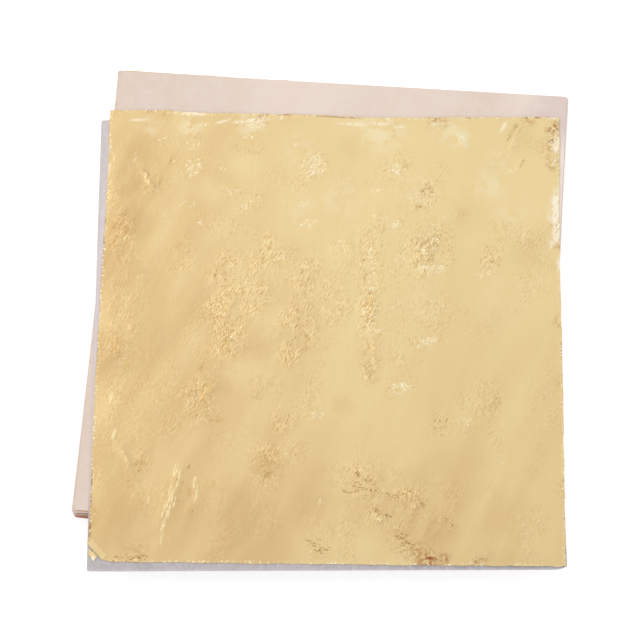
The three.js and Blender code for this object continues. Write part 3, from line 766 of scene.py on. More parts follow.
# soft ovals on the leaf: middle x, y, the way they run, half length, half width, strength
leafClusters = {
    "crinkle": [   # patches of close wrinkles
        (-63.5, 30, 95, 10, 4.5, 0.77), (-66.5, 36, 90, 14.5, 2.5, 0.51),
        (-54.5, 46, 120, 4, 4, 0.68), (-49, 54, 60, 3.5, 2, 0.42), (-58.5, 50, 60, 6.5, 6, 0.34),
        (-44.5, 23, 75, 6.5, 4.5, 0.47), (-32, 18.5, 60, 8, 4.5, 0.81),
        (-32.5, 6.5, 75, 10, 5, 0.85), (-25.5, 9.5, 60, 12.5, 7, 0.72),
        (-20.5, 23.5, 75, 8, 4, 0.77), (-15, 24, 50, 6, 4.5, 0.51), (-7, 18, 60, 7, 4.5, 0.85),
        (-10, 4, 65, 9, 5, 0.77), (-3, 10, 60, 11, 5, 0.59), (-63.5, 7, 60, 11, 8, 0.47),
        (-63.5, -2, 70, 9, 8, 0.64), (-30.5, 44.5, 0, 4.5, 3, 0.42),
        (-17.5, 49.5, 60, 5, 4.5, 0.3), (-6, 53, 45, 6, 6, 0.47), (-25, 40, 45, 5, 3, 0.51),
        (-52, 61, 30, 4, 2.5, 0.3), (-43, 52.5, 45, 6, 4, 0.38), (28.5, 43.5, 60, 8.5, 4.5, 0.64),
        (29.5, 26, 75, 10, 8, 0.85), (12, 19.5, 90, 17, 4.5, 0.72), (11.5, 7, 90, 8.5, 4, 0.85),
        (14, 31.5, 80, 8, 4, 0.51), (19.5, 23.5, 60, 6.5, 5, 0.47), (20, 52.5, 30, 6, 4.5, 0.51),
        (50, 25.5, 50, 7, 4.5, 0.64), (3.5, 27, 0, 4, 4, 0.42), (2.5, 8.5, 70, 8, 5, 0.59),
        (39, 36.5, 60, 4, 2.5, 0.34), (13, 0.5, 0, 5, 3, 0.68), (33, 4.5, 70, 8, 4.5, 0.34),
        (62, 19, 60, 8, 6, 0.34), (45, 1, 60, 8, 6.5, 0.21), (-29.5, -2.5, 65, 9, 6, 0.85),
        (-9, -3.5, 65, 9, 6, 0.81), (-39.5, -22, 70, 9, 6, 0.81), (-53, -19, 60, 9, 7, 0.38),
        (-64, -21, 90, 12.5, 4, 0.42), (-64, -31.5, 80, 11.5, 5, 0.34),
        (-20.5, -17, 60, 5, 4, 0.38), (-13.5, -28, 65, 5, 4, 0.68),
        (-17.5, -41.5, 80, 8.5, 5, 0.77), (-10, -37.5, 60, 4, 4, 0.51),
        (-55.5, -41, 40, 4.5, 4, 0.51), (-31, -34, 60, 6.5, 4.5, 0.26),
        (-32.5, -49, 60, 6, 5, 0.3), (-51.5, -52, 60, 6, 4.5, 0.34), (-29, -59, 140, 6.5, 4, 0.34),
        (-3, -64.5, 140, 4.5, 3, 0.42), (-18.5, -54.5, 60, 6.5, 5, 0.26), (12, -4, 90, 6, 4, 0.59),
        (22.5, -6, 45, 8, 5, 0.42), (21.5, -16, 15, 6.5, 4, 0.42), (12, -12, 90, 6, 3, 0.85),
        (33, -28, 45, 6, 4.5, 0.42), (40.5, -27.5, 0, 3.5, 4, 0.34), (9.5, -45, -15, 7, 6, 0.81),
        (22, -50, -10, 8.5, 4, 0.81), (15.5, -55, -20, 6, 4, 0.72), (23, -63, -45, 6.5, 4, 0.68),
        (35, -57.5, -45, 5, 2.5, 0.51), (28.5, -68, -10, 7, 2.5, 0.68),
        (44.5, -68, 20, 4, 2, 0.51), (64, -20, 90, 12.5, 6, 0.3), (58.5, -57.5, 20, 7, 6, 0.3),
        (49, -22, 60, 3.5, 3, 0.42), (36, -50.5, 60, 6.5, 4.5, 0.3), (-30, 5, 60, 20, 11, 0.4),
        (-6, 2, 65, 22, 10, 0.35), (-62, 5, 80, 22, 8, 0.35), (22, 18, 85, 26, 14, 0.3),
        (-58, -22, 85, 22, 9, 0.3), (18, -50, 150, 20, 10, 0.35),
    ],
    "glint": [   # short bright threads
        (-43.5, 70, 0, 4.5, 1, 1), (-39.5, 66, 20, 2, 1, 0.9), (-26, 62, 0, 2, 1, 0.8),
        (-25, 66.5, 0, 5.5, 1.5, 0.9), (-12, 59.5, 0, 2, 1.5, 0.7), (-52, 61, 30, 3.5, 2, 0.5),
        (-43.5, 59, 0, 3.5, 1.5, 0.7), (-42.5, 51.5, 60, 4, 3, 0.8), (-33.5, 51, -40, 2, 1, 0.8),
        (-30.5, 44.5, 0, 3.5, 2, 0.7), (-5.5, 53, 45, 4.5, 4.5, 0.9),
        (-44, 39.5, 0, 3.5, 1.5, 0.7), (-25, 40, 45, 4, 2, 0.8), (-8.5, 40.5, 0, 3.5, 1.5, 0.8),
        (-39.5, 33, -40, 2, 1, 0.8), (-7, 34, 0, 3.5, 2, 0.7), (-60.5, 55, 75, 2.5, 1, 0.7),
        (-15, 24, 30, 3, 3, 0.7), (-63, 66.5, 0, 2, 1, 0.6), (19.5, 52.5, -20, 4.5, 3, 0.8),
        (13, 45, 10, 3, 1, 1), (4, 49, 0, 3, 1.5, 0.6), (19, 34, 10, 3, 1.5, 1),
        (14, 36.5, 0, 3, 1.5, 0.7), (34, 36.5, 10, 2, 1, 0.8), (54.5, 52, 20, 2.5, 1, 1),
        (44.5, 45, 0, 2, 1.5, 0.7), (51.5, 58, 0, 1, 1, 0.6), (30.5, 20, 5, 5.5, 2, 1),
        (46.5, 19, 15, 3.5, 1.5, 0.8), (21, 23, 0, 2.5, 2, 0.6), (58, 31, 90, 3.5, 0.5, 0.5),
        (62, 17, 30, 3.5, 3, 0.5), (17.5, 7.5, 10, 2, 1, 0.8), (34, 9, 30, 3, 2, 0.6),
        (13, 0.5, 0, 4.5, 2, 0.8), (3.5, 27, 0, 3.5, 2.5, 0.6), (29.5, -2.5, 25, 4, 2, 1),
        (21.5, -17, 10, 4.5, 2, 1), (40.5, -27, 0, 2, 1.5, 0.8), (50.5, -39, -30, 2, 1, 0.7),
        (58.5, -57.5, 20, 5.5, 4.5, 0.4), (-3.5, -26, 15, 3.5, 1.5, 0.8),
        (-1.5, -52, -40, 2, 1, 0.7), (-14.5, -23.5, 0, 2, 1, 0.7), (-39.5, -22, 70, 5, 2.5, 0.5),
        (-64, -20, 90, 3.5, 1.5, 0.6), (-61.5, -10, 80, 2.5, 1, 0.7), (-62, -34, 80, 3.5, 2, 0.5),
        (-63.5, -57, 0, 2, 2, 0.4), (64, -22, 90, 9.5, 3.5, 0.35), (25.5, -53.5, 70, 2, 1, 0.8),
        (15.5, -57, 20, 2, 1, 0.8), (-4.5, -67.5, 85, 2, 0.5, 0.8), (40, 63, 70, 3, 1.5, 0.7),
        (56, 61.5, 60, 3, 1.5, 0.6), (67, 62.5, 80, 4.5, 1.5, 1), (-29.5, -5, 60, 6, 3, 0.35),
        (-9, -3, 60, 6, 3, 0.3), (29.5, 28, 70, 7.5, 4.5, 0.7), (12, 19.5, 90, 12.5, 2.5, 0.7),
        (28.5, 43, 60, 6, 3.5, 0.5), (11.5, 6, 90, 7, 2.5, 0.6), (-32.5, 7.5, 60, 7.5, 3.5, 0.3),
    ],
    # painted shade in creases on the slant
    "slantCrease": [   # dark creases on the slant
        (-40.7, -43.2, 75, 2, 0.5, 1.4), (-42.5, -49, 80, 5, 0.5, 0.9),
        (-54.5, 46, 60, 3.5, 2.5, 0.81), (-49.5, 54, 60, 2, 1, 0.81),
        (-56.5, 48.5, 120, 3.5, 1, 0.72), (-32, 18.5, 60, 5.5, 3, 0.72),
        (-32.5, 6.5, 75, 8, 3.5, 0.63), (-25.5, 9.5, 60, 10.5, 5.5, 0.45),
        (-20.5, 24, 75, 6, 2, 0.81), (-7, 18, 60, 5.5, 3.5, 0.72), (-10, 4, 65, 7.5, 3.5, 0.63),
        (-63.5, 30, 95, 9, 3, 0.72), (-44.5, 23, 75, 4, 3, 0.45), (28.5, 43.5, 60, 6.5, 3.5, 0.81),
        (29.5, 26, 75, 8, 5.5, 0.81), (12, 19.5, 90, 14.5, 3, 0.72), (11.5, 7, 90, 6.5, 2.5, 0.9),
        (12, -12, 90, 5, 2, 0.9), (50, 25.5, 50, 5, 3, 0.54), (56, 65, 55, 4, 2.5, 0.9),
        (58, 55, 50, 2, 1, 0.9), (-29.5, -2.5, 65, 7.5, 4, 0.72), (-9, -3.5, 65, 7.5, 4, 0.72),
        (-39.5, -22, 70, 7.5, 4, 0.72), (-13.5, -28, 65, 4, 2.5, 0.9),
        (-17.5, -41.5, 80, 6.5, 3.5, 0.72), (-10, -37.5, 60, 3.5, 2.5, 0.72),
        (-55, -42, 40, 3.5, 2, 0.9), (49, -22, 60, 3, 2.5, 0.9), (39, -23, 0, 1.5, 1, 0.72),
        (33, -28.5, 45, 4, 3.5, 0.72), (39.5, -30, 90, 3.5, 0.5, 0.72),
        (-43.5, -46, 75, 4, 1, 0.9), (-55, -15, 120, 3.5, 2, 0.72), (-62.5, -11.5, 0, 2, 1, 0.72),
        (-29, -59, 125, 5, 2.5, 0.63), (-39.5, -55, 40, 1.5, 1, 0.72),
        (-20, -20.5, 150, 3, 2, 0.63), (-69, -46.5, 90, 3.5, 0.5, 0.9),
        (-68.5, -53.5, 90, 3, 0.5, 0.9), (-68.5, -60.5, 90, 3.5, 1, 0.9),
        (6, 22, 90, 1.5, 0.5, 0.72),
    ],
    # painted shade in creases across
    "flatCrease": [   # dark creases across
        (7.5, -43, -10, 3.5, 1.5, 1), (12, -46, -10, 3.5, 1.5, 1), (9.5, -48, -20, 6, 3, 0.8),
        (19, -50, -5, 3.5, 1.5, 0.9), (24.5, -49, 10, 3.5, 1, 1), (27, -51, -40, 2.5, 1, 1),
        (14, -54, -15, 3, 1, 1), (17, -55.5, -25, 2.5, 1, 1), (22, -62.5, -45, 3.5, 2.5, 1),
        (24, -64, -30, 3.5, 1.5, 0.9), (35, -57.5, -45, 4, 1.5, 0.8),
        (-3, -64.5, -30, 3.5, 2.5, 0.9), (-2, -65.5, -40, 2.5, 1, 1), (-33, -65, 10, 2.5, 0.5, 1),
        (28.5, -68, -10, 6.5, 1, 1), (44.5, -68.5, 20, 3, 1, 1), (-55, -68.5, 0, 6.5, 1, 0.8),
        (-22, 69.5, 35, 2.5, 1, 1), (49.5, 49, 0, 2.5, 1, 0.5), (23, -66, 0, 3, 1, 0.8),
        (-47, -52, 0, 1, 1, 0.5),
    ],
    # painted highlights: long bright strands on the folds
    "strand": [   # long bright strands
        (-45.5, -52, 77, 11, 2, 1), (-44, -44.5, 78, 3.5, 1, 1), (-47.5, -58, 80, 5, 1, 1),
        (-38, -49, 97, 5.5, 1, 0.95), (-51.5, -54, 100, 3, 0.5, 0.9),
        (-50, -25, 92, 2.5, 0.5, 0.9), (-46.5, -21, 92, 3, 0.5, 0.9),
        (-59.5, -39, 122, 4.5, 1, 0.95), (-56.5, 47.5, 121, 4, 1, 0.95),
        (-67.5, 54, 90, 3.5, 1, 0.9), (-67.5, 46, 90, 2, 1, 0.9), (39, 62.5, 115, 3.5, 1, 0.8),
        (-62.5, -34.5, 82, 4.5, 1.5, 0.7), (-64, -20, 88, 4.5, 1.5, 0.7),
        (58, 31, 92, 3.5, 1, 0.6),
    ],
    "glare": [   # mostly along the border
        (-44, 69.4, 0, 5, 0.6, 1), (-34, 67.2, 20, 2.4, 0.4, 0.8), (-25, 67.6, 8, 6, 0.7, 0.9),
        (-16, 68.8, 60, 1, 0.4, 0.9), (6, 67.6, 0, 5, 0.5, 0.7), (14, 67.8, 0, 3.4, 0.5, 0.8),
        (68.2, 38.5, 92, 6.5, 1.4, 1.8), (68.3, 33, 85, 3.4, 1.4, 1.6),
        (66.2, 29, 75, 1.8, 0.8, 0.8), (68.6, 22, 90, 2.4, 0.5, 1), (68.2, 60.5, 75, 2.2, 0.8, 1),
        (67.4, 55.5, 80, 1.6, 0.4, 0.8), (67.3, 70, -20, 1.4, 0.5, 1.1),
        (69, 14, 90, 1.6, 0.5, 0.9), (-68.6, 58, 90, 2, 0.35, 0.7),
        (-68.6, 51, 80, 1.6, 0.35, 0.7), (69.4, -10, 90, 3, 0.35, 0.8),
        (69.5, -30, 90, 4, 0.3, 0.8), (69.3, -40, 90, 3, 0.35, 0.8), (-68.8, 3, 90, 2, 0.3, 0.6),
        (52.5, 66.6, 62, 2, 0.5, 0.9), (20, 66.8, 0, 2, 0.5, 0.8), (31, 67.5, 40, 1, 0.4, 0.8),
        (68.8, 46, 85, 2, 0.5, 0.8), (69.2, -57, 90, 1.2, 0.3, 0.9),
        (40.2, 62, 110, 2.6, 0.35, 0.6), (-60, 66.8, 0, 2.4, 0.3, 0.7),
    ],
    "browned": [   # short pieces of the very edge
        (-22, 69.5, 35, 3, 0.5, 0.8), (-13, 70, 0, 3, 0.5, 1), (0.5, 69.5, 0, 8.5, 0.5, 1),
        (15.5, 69, 0, 4, 0.5, 0.8), (31, 69, 0, 4, 0.5, 0.9), (41.5, 69.5, 0, 1, 1, 0.8),
        (61, 69.5, 0, 2.5, 1, 1), (-56, 70.5, 0, 1, 1, 0.7), (-69, -46.5, 90, 2.5, 0.5, 1),
        (-68.5, -53, 90, 2.5, 0.5, 1), (-68.5, -60.5, 90, 3, 1, 1), (-69, 33.5, 90, 1, 0.5, 0.8),
        (-69, 27.5, 90, 1, 0.5, 0.8), (69, 35.5, 90, 1.5, 0.5, 0.9), (68, 11, 90, 2.5, 0.5, 0.7),
        (69, -3, 90, 4.5, 0.5, 0.7), (69.5, -20, 90, 3, 0.5, 0.6), (68.5, -46, 90, 2, 0.5, 1),
        (69, -56, 90, 1, 0.5, 0.9), (30, -69, 0, 4.5, 1, 1), (22.5, -69.5, 0, 1.5, 0.5, 0.8),
        (45, -69, 15, 2.5, 0.5, 1), (-62, -69, -30, 1.5, 1, 0.8), (-57, -69, 0, 2, 0.5, 0.8),
    ],
}

# single folds: middle x, y, the way they run, length, half width, height, bend
leafFolds = [
    (-47.6, -53.0, 82, 18, 0.6, 0.12, 0.0), (-45.6, -51.0, 80, 22, 0.6, 0.16, 0.0),
    (-43.6, -48.0, 77, 17, 0.6, 0.16, 0.0), (-38.2, -50.0, 97, 10, 0.6, 0.12, -0.01),
    (-40.2, -54.5, 60, 5, 0.35, 0.14, 0.0), (-59.3, -39.2, 122, 10, 0.35, 0.24, 0.0),
    (-56.5, 47.7, 121, 9, 0.35, 0.24, 0.0), (10.2, -45.1, 158, 9, 0.35, 0.18, 0.0),
    (12.5, -47.4, 165, 8, 0.35, 0.18, 0.0), (15.6, -49.2, 175, 9, 0.35, 0.16, 0.0),
    (22.4, -50.0, 178, 9, 0.35, 0.16, 0.01), (26.0, -51.6, 150, 6, 0.35, 0.2, 0.0),
    (16.0, -55.4, 148, 9, 0.35, 0.2, 0.0), (25.4, -53.5, 70, 4, 0.35, 0.2, 0.05),
    (15.5, -57.0, 20, 4, 0.35, 0.2, 0.05), (22.2, -63.5, 140, 9, 0.35, 0.18, 0.0),
    (35.5, -60.0, 125, 8, 0.5, 0.14, 0.0), (56.2, 62.0, 58, 8, 0.35, 0.34, 0.0),
    (57.8, 55.0, 50, 5, 0.35, 0.26, 0.0), (54.5, 66.5, 35, 6, 0.35, 0.2, 0.0),
    (-29.0, -65.0, 10, 6, 0.35, 0.2, -0.05), (12.6, 6.0, 88, 18, 0.45, 0.14, 0.0),
    (13.6, -6.0, 94, 12, 0.45, 0.16, 0.0), (29.0, 24.0, 80, 12, 0.45, 0.12, 0.0),
    (-29.5, 8.0, 66, 16, 0.45, 0.12, 0.0), (-7.0, 16.0, 62, 9, 0.45, 0.12, 0.0),
    (-36.0, -20.0, 60, 9, 0.45, 0.14, 0.0), (39.5, 62.0, 110, 8, 0.6, 0.18, 0.02),
    (66.8, 38.0, 92, 16, 0.8, 0.3, 0.01), (66.0, 61.0, 75, 10, 0.5, 0.3, 0.0),
]

# blots where the leaf has tarnished or reddened, painted highlights where it is pale, painted
# shade where it is dull, and places less warm: x, y, reach, strength
leafSpots = {
    "tarnish": [
        (-36.5, -22, 6, 0.5), (-34, -27, 4, 0.5), (-17.5, -42, 6.5, 0.45), (-39.5, -49, 3, 0.5),
        (27, -66, 6, 0.7), (20, -62, 5, 0.4), (66, 60, 5, 0.5), (67.5, 35, 2, 0.6),
        (-62, -9, 2, 0.6), (-38, -12.5, 2.5, 0.5), (-52, 69, 4, 0.4), (-22, 67.5, 3, 0.6),
        (34, 68.5, 4, 0.5), (60, 68.5, 3, 0.6), (-68, -57, 3, 0.6), (-55, -67.5, 6, 0.4),
        (68.5, 28, 2, 0.6), (68.5, 4, 3, 0.5), (69, -14, 4, 0.5), (69, -46, 3, 0.5),
        (67.5, 66, 4, 0.9), (67.5, 55.5, 4, 0.7),
    ],
    "rust": [
        (29.5, -68.3, 3, 1.0), (34, -67.6, 2.5, 0.8), (66.5, 62, 2.5, 0.7), (-13, 70, 1.5, 0.6),
        (31, 69.3, 2, 0.6), (69, -46, 1.2, 0.9), (-68.8, -60, 2, 0.7), (-68.8, -52.5, 1.2, 0.6),
        (-57, 69.8, 1.5, 0.6), (67.3, 65.8, 2.5, 0.7),
    ],
    # painted highlights: paler places where the leaf catches light
    "pale": [
        (40, 62.5, 4.5, 0.8), (-56.5, 64.5, 5, 0.3), (-44, 65, 5.5, 0.5), (-25.5, 66, 7.5, 0.5),
        (-10, 58, 8, 0.25), (14.5, 65, 11, 0.5), (36, 66, 9, 0.4), (51.5, 56, 6, 0.3),
        (48.5, 47.5, 8, 0.35), (55, 38, 9, 0.2), (2.5, 42, 9.5, 0.3), (-9.5, 38.5, 9.5, 0.2),
        (66, 38, 4.5, 0.6), (68.7, 38, 2.2, 1), (67, 29, 1.5, 0.9), (68, 62, 1.5, 0.9),
        (69, 70, 1, 0.9), (24.5, 45.5, 7.5, 0.2), (51, 10.5, 12.5, 0.12), (27, 10.5, 12.5, 0.12),
    ],
    # painted shade: darker blots where the leaf reflects less light
    "dull": [
        (-66, 20, 18, 0.9), (-67, -8, 14, 0.8), (-65, -40, 14, 0.45), (-60, 55, 18, 0.6),
        (-60, -45, 12, 0.35), (-42, -56, 14, 0.5), (-5, -52, 14, 0.4), (15, -52, 15, 0.5),
        (-62, 33.5, 13, 1.0), (-62, 47, 13, 0.8), (-53, 43.5, 9, 0.55), (-66.5, 24.5, 9, 0.45),
        (-38, 25, 9.5, 0.15), (-12.5, 24, 8, 0.2), (41.5, 37.5, 10.5, 0.22),
        (-65.5, -5.5, 7, 0.25), (-17.5, -42.5, 10.5, 0.3), (-23, -56, 15, 0.75),
        (36, -50, 24, 0.4), (50, -56, 16, 0.4), (30, -58, 15, 0.8), (41.5, -41.5, 13.5, 0.3),
        (-57, -58, 13.5, 0.6), (12, -7, 8, 0.2), (4.5, -22.5, 5, 0.3), (-31.5, 9.5, 10.5, 0.15),
        (-7.5, 3.5, 10.5, 0.25), (-2.5, -45.5, 11, 0.3), (57.5, 62.5, 7, 0.25), (30, 29.5, 8, 0.3),
        (60, 26.5, 9.5, 0.2), (5.5, 58.5, 8, 0.2), (50, -68, 12.5, 0.3), (-63.5, 5.5, 8, 0.5),
        (-36, 4, 9, 0.5), (-55.5, 43.5, 9, 0.45), (-8.5, -3, 8, 0.25), (-17, -30.5, 8, 0.25),
        (-34, -58, 9, 0.35), (-64, 33, 9, 0.4), (-53, -56, 9, 0.35), (50, -60, 10, 0.35),
    ],
    "clear": [
        (-26.5, -12.5, 9, 0.55), (-36, -22, 6, 0.45), (-17.5, 3, 9, 0.4), (-27.5, 53.5, 8, 0.4),
        (-37, 44, 7, 0.4), (1.5, 25.5, 7, 0.3),
    ],
}


def clusterShare(x, y, clusters):
    # soft ovals, each with its own run, whose outlines wander
    warpX = x + 1.2 * roughNoise(x, y, 4, 105, 2)
    warpY = y + 1.2 * roughNoise(x, y, 4, 107, 2)
    share = np.zeros_like(x)
    for middleX, middleY, run, halfLength, halfWidth, strength in clusters:
        warp = min(1.0, halfWidth / 3)
        along, across = turnedTo(run, x + (warpX - x) * warp - middleX,
                                 y + (warpY - y) * warp - middleY)
        near = np.exp(-0.9 * ((along / halfLength) ** 2 + (across / halfWidth) ** 2) ** 2)
        share = np.maximum(share, strength * near)
    return share


def spotShare(x, y, spots):
    # blots with ragged outlines
    warpX = x + 2.2 * roughNoise(x, y, 5, 91, 3) + 0.5 * roughNoise(x, y, 1.4, 95, 2)
    warpY = y + 2.2 * roughNoise(x, y, 5, 93, 3) + 0.5 * roughNoise(x, y, 1.4, 97, 2)
    share = np.zeros_like(x)
    for spotX, spotY, reach, strength in spots:
        warp = min(1.0, reach / 4)
        distance = np.hypot(x + (warpX - x) * warp - spotX, y + (warpY - y) * warp - spotY)
        share = np.maximum(share, strength * (1 - smoothStep(0.0, reach, distance)))
    return share


def makeFlap(place, shape):
    # a narrow flap at the torn corner, turned up and back over the leaf
    fold, top = shape["foldRadius"], shape["flapHeight"]
    profile = [(0, 0), (-fold, 0.5 * fold + 0.02), (-fold, 1.6 * fold), (0, top)]
    profile = np.array(profile + [(shape["flap"] * k / 4, top) for k in (1, 2, 3, 4)])
    u, v, quads = gridPoints(shape["flapSteps"], len(profile) - 1, 1)
    along = u / shape["flapSteps"] + 0.5
    row = np.rint(v + (len(profile) - 1) / 2).astype(int)
    offset = profile[row, 0] / math.sqrt(2)
    offset += np.where(row == len(profile) - 1, 0.12 * np.sin(along * 23), 0)
    return laySheet(place, -place["width"] / 2 + shape["cornerCut"] * along + offset,
                    -place["length"] / 2 + shape["cornerCut"] * (1 - along) + offset,
                    profile[row, 1], quads, packLay["leafThickness"])


def makeScrap(place, shape):
    # a torn scrap with a slanted upper side beside the flap, and a ragged point in front
    size = shape["scrapWidth"]
    x, y, quads = gridPoints(size, 1.0, size / 10)
    across = x / size + 0.5
    upper = 3.3 - 2.0 * across + 0.12 * np.sin(across * 17)
    lower = 1.45 - 1.9 * smoothStep(0, 0.7, across) + 1.5 * smoothStep(0.6, 1, across)
    y = lower + 0.1 * np.sin(across * 23) + (upper - lower) * (y + 0.5)
    lift = shape["scrapLift"] * (1 + roughNoise(x, y, 1.2, 73, 2)) * 0.5 - shape["scrapBelow"]
    return laySheet(place, x - place["width"] / 2 + shape["scrapFromLeft"],
                    y - place["length"] / 2, lift, quads, packLay["leafThickness"])


def makeTopLeaf(place, shape):
    width, length = place["width"], place["length"]
    x, y, quads = gridPoints(width, length, shape["cell"])
    fromBorder = np.minimum(width / 2 - np.abs(x), length / 2 - np.abs(y))
    fields = {name: clusterShare(x, y, clusters) for name, clusters in leafClusters.items()}
    fields.update({name: spotShare(x, y, spots) for name, spots in leafSpots.items()})

    # the sheet's slow waves and its scattered soft crinkles
    height = shape["wave"] * (1 + roughNoise(x, y, shape["waveSpacing"], 3, 2)) * 0.5
    height += shape["crinkle"] * (1 + roughNoise(x, y, shape["crinkleSpacing"], 7, 3)) * 0.5

    # close wrinkles in patches that run on the slant
    slantX, slantY = turnedTo(shape["wrinkleRun"], x, y)
    ridges = 1 - np.abs(softNoise(slantX / shape["wrinkleStretch"], slantY,
                                  shape["wrinkleSpacing"], 19))
    height += shape["patchWrinkle"] * fields["crinkle"] * ridges ** 2
    broken = smoothStep(-0.7, 0.4, roughNoise(x, y, shape["breakSpacing"], 17, 3))
    scattered = smoothStep(0.05, 0.6, roughNoise(x, y, shape["scatterSpacing"], 23, 2))
    crinkle = np.clip(np.maximum(fields["crinkle"] * broken, shape["scattered"] * scattered), 0, 1)

    for foldX, foldY, run, foldLength, halfWidth, foldHeight, bend in leafFolds:
        along, across = turnedTo(run, x - foldX, y - foldY)
        across = (across + bend * along ** 2
                  + shape["foldWander"] * softNoise(along, across, 3, int(run)))
        taper = np.clip(1 - (along / (foldLength / 2)) ** 2, 0, 1)
        height += foldHeight * taper * np.exp(-np.abs(across) / halfWidth)

    # the border wanders in and out, and curls up in short ragged pieces
    frill = 1 - smoothStep(0, shape["borderReach"], fromBorder)
    inPlaces = smoothStep(-0.1, 0.6, roughNoise(x, y, shape["curlPlaces"], 43, 2))
    inPlaces = inPlaces * (1 - 0.7 * smoothStep(-width / 2 + 3, -width / 2, x))
    curl = smoothStep(0.0, 0.8, roughNoise(x, y, shape["curlSpacing"], 41, 3)) * inPlaces
    height = height * smoothStep(-1, 5, fromBorder) + shape["borderCurl"] * frill * curl
    reach = smoothStep(shape["deckleReach"], 0, fromBorder)
    outX, outY = (shape["deckle"] * roughNoise(x, y, shape["deckleSpacing"], seed, 4) * reach
                  for seed in (51, 61))
    for side, out, way, toward, half, other in [
            ("right", outX, 1, x, width / 2, y), ("left", outX, -1, -x, width / 2, y),
            ("back", outY, 1, y, length / 2, x), ("front", outY, -1, -y, length / 2, x)]:
        shift = np.interp(other, *zip(*borderShifts[side]))
        # adds to outX or outY in place
        out += way * shift * smoothStep(half - shape["shiftReach"], half, toward)

    # the front left corner is torn off on the slant
    sideways = (x + width / 2) + (y + length / 2)
    torn = sideways < shape["cornerCut"]
    quads = quads[~torn[quads].all(axis=1)]
    back = np.where(torn, (shape["cornerCut"] - sideways) / 2, 0)
    nearTear = smoothStep(3, 0, np.abs(sideways - shape["cornerCut"]))
    height = height * (1 - nearTear) + 0.02 * nearTear
    leaf = laySheet(place, x + back + outX * (1 - nearTear), y + back + outY * (1 - nearTear),
                    height, quads, packLay["leafThickness"])

    # what the finish reads
    # partly tint, partly painted shade: the leaf is painted warmer and darker toward the left and
    # front
    warm = (shape["warmth"] + shape["leafShadeLeft"] * smoothStep(15, -55, x)
            + shape["leafShadeFront"] * smoothStep(45, -45, y)
            + shape["warmthClouds"] * roughNoise(x, y, 30, 81, 2) - fields.pop("clear"))
    fields.update(crinkle=np.maximum(crinkle, 0.6 * frill * inPlaces),
                  warm=np.clip(warm, 0, 1), fromBorder=np.minimum(fromBorder, 4))
    sheets = [leaf, makeFlap(place, shape), makeScrap(place, shape)]
    patches = [{"warm": 0.55, "pale": 0.12, "fromBorder": 4},
               {"crinkle": 0.6, "pale": 0.9, "fromBorder": 4}]
    points = np.concatenate([sheet[0] for sheet in sheets])
    starts = np.cumsum([0] + [len(sheet[0]) for sheet in sheets])
    faces = np.concatenate([sheet[1] + start for sheet, start in zip(sheets, starts)])
    # the torn corner's own points are left out
    used = np.unique(faces)
    newIndex = np.zeros(len(points), dtype=int)
    newIndex[used] = np.arange(len(used))
    attributes = {
        name: np.concatenate([values, values] + [
            np.full(len(sheet[0]), patch.get(name, 0.0))
            for sheet, patch in zip(sheets[1:], patches)])[used]
        for name, values in fields.items()}
    return makePiece("topMetalLeaf", points[used], newIndex[faces], leafMaterial, attributes)


topLeaf = makeTopLeaf(topLeafPlace, topLeafShape)
takePlace(topLeaf, "loose_leaf", "top_leaf")
print("the top leaf is laid, with", len(topLeaf.data.polygons), "faces")

# floor, light and camera, in metres

studio = {
    "floorSize": 24.0, "floorLevel": -0.0001,
    "floorWhite": 0.85, "floorDiffuse": 0.5, "floorGlow": 0.7,
    "skyLow": 0.74, "skyHigh": 0.97, "whiteTo": 0.17, "skyFrom": 0.28,
    "brightWay": (-0.55, 0.35, 0.76), "brightExtra": 0.9, "brightFrom": 0.9,
    "dimWay": (0.42, -0.26, 0.87), "dimLess": 0.32, "dimFrom": 0.88,
    "lampSize": 0.35, "lampPower": 0.55,
    "lamps": {"softboxLeft": (-0.75, 0.55, 0.75), "softboxRight": (0.85, 0.35, 0.8)},
}


def raysThatSee(tree):
    # the background shows white to the camera, and in metal and glass
    rays = addNode(tree, "ShaderNodeLightPath")
    seen = rays.outputs["Is Camera Ray"]
    for name in ("Is Glossy Ray", "Is Transmission Ray"):
        seen = addNode(tree, "ShaderNodeMath", {0: seen, 1: rays.outputs[name]},
                       operation="MAXIMUM")
    return seen


def makeFloor():
    material, tree = newMaterial("paperSweepWhite")   # matt white paper, and white to the eye
    diffuse, white = (
        addNode(tree, "ShaderNodeBsdfDiffuse", {"Color": (studio[name],) * 3 + (1.0,)})
        for name in ("floorDiffuse", "floorWhite"))
    glow = addNode(tree, "ShaderNodeEmission", {
        "Color": (1, 1, 1, 1), "Strength": studio["floorGlow"]})
    lifted = addNode(tree, "ShaderNodeAddShader", {0: diffuse, 1: glow})
    surface = addNode(tree, "ShaderNodeMixShader", {0: raysThatSee(tree), 1: white, 2: lifted})
    addNode(tree, "ShaderNodeOutputMaterial", {"Surface": surface})
    half, level = studio["floorSize"] / 2, studio["floorLevel"]
    mesh = bpy.data.meshes.new("floorSheet")
    mesh.from_pydata([(-half, -half, level), (half, -half, level), (half, half, level),
                      (-half, half, level)], [], [(0, 1, 2, 3)])
    mesh.materials.append(material)
    return addObject("floorSheet", mesh)


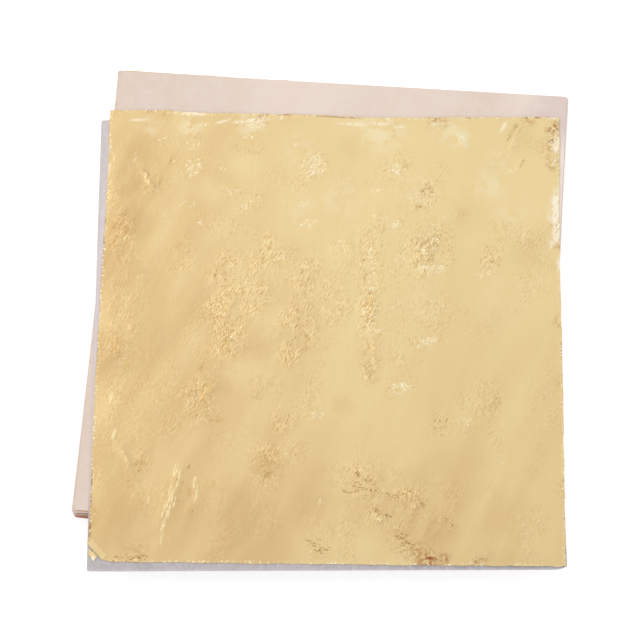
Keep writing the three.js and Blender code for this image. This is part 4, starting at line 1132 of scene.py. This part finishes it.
def makeWorld():
    # an even studio sky with a window's glow high at the back left, dimmer at the front right
    world = bpy.data.worlds.new("studioSky")
    bpy.context.scene.world = world
    world.use_nodes = True
    tree = world.node_tree
    tree.nodes.clear()
    direction = addNode(tree, "ShaderNodeTexCoord").outputs["Generated"]
    upward = addNode(tree, "ShaderNodeSeparateXYZ", {0: direction}).outputs["Z"]
    level = addNode(tree, "ShaderNodeMapRange", {
        "Value": upward, "To Min": studio["skyLow"], "To Max": studio["skyHigh"]})
    for way, start, most, operation in [("brightWay", "brightFrom", "brightExtra", "ADD"),
                                        ("dimWay", "dimFrom", "dimLess", "SUBTRACT")]:
        along = addNode(tree, "ShaderNodeVectorMath", {
            0: direction, 1: tuple(Vector(studio[way]).normalized())}, operation="DOT_PRODUCT")
        zone = addNode(tree, "ShaderNodeMapRange", {
            "Value": along, "From Min": studio[start], "To Max": studio[most]},
            interpolation_type="SMOOTHSTEP")
        level = addNode(tree, "ShaderNodeMath", {0: level, 1: zone}, operation=operation)
    # a white backdrop stands all round as high as a level camera looks
    backdrop = addNode(tree, "ShaderNodeMapRange", {
        "Value": upward, "From Min": studio["whiteTo"], "From Max": studio["skyFrom"],
        "To Min": 1.0, "To Max": 0.0}, interpolation_type="SMOOTHSTEP")
    share = addNode(tree, "ShaderNodeMath", {0: backdrop, 1: raysThatSee(tree)},
                    operation="MULTIPLY")
    level = addNode(tree, "ShaderNodeMix", {0: share, 2: level, 3: 1.0}, data_type="FLOAT")
    background = addNode(tree, "ShaderNodeBackground", {"Color": (1, 1, 1, 1), "Strength": level})
    addNode(tree, "ShaderNodeOutputWorld", {"Surface": background})


def makeLamp(name, place):
    lamp = bpy.data.lights.new(name, "AREA")
    lamp.size = studio["lampSize"]
    lamp.energy = studio["lampPower"]
    # it looks at the middle of the pack
    turn = Vector(place).normalized().to_track_quat("Z", "Y").to_matrix().to_4x4()
    addObject(name, lamp).matrix_world = Matrix.Translation(place) @ turn


makeFloor()
makeWorld()
for name, place in studio["lamps"].items():
    makeLamp(name, place)

cameraView = {"target": (-0.0022, -0.00434, 0.0), "distance": 0.586, "tilt": 17.2, "pan": 4.06,
              "roll": -0.17, "lens": 108.28}


def makeCamera():
    data = bpy.data.cameras.new("photoCamera")
    data.lens = cameraView["lens"]
    data.sensor_width = 36
    data.clip_start = 0.01
    camera = addObject("photoCamera", data)
    swing = (Matrix.Rotation(math.radians(cameraView["pan"]), 4, "Z")
             @ Matrix.Rotation(math.radians(cameraView["tilt"]), 4, "X"))
    back = swing @ Vector((0, 0, cameraView["distance"]))
    roll = Matrix.Rotation(math.radians(cameraView["roll"]), 4, "Z")
    camera.matrix_world = (Matrix.Translation(Vector(cameraView["target"]) + back) @ swing @ roll)
    bpy.context.scene.camera = camera


makeCamera()
bpy.context.scene.view_settings.view_transform = "Standard"
print("floor, light and camera are set")
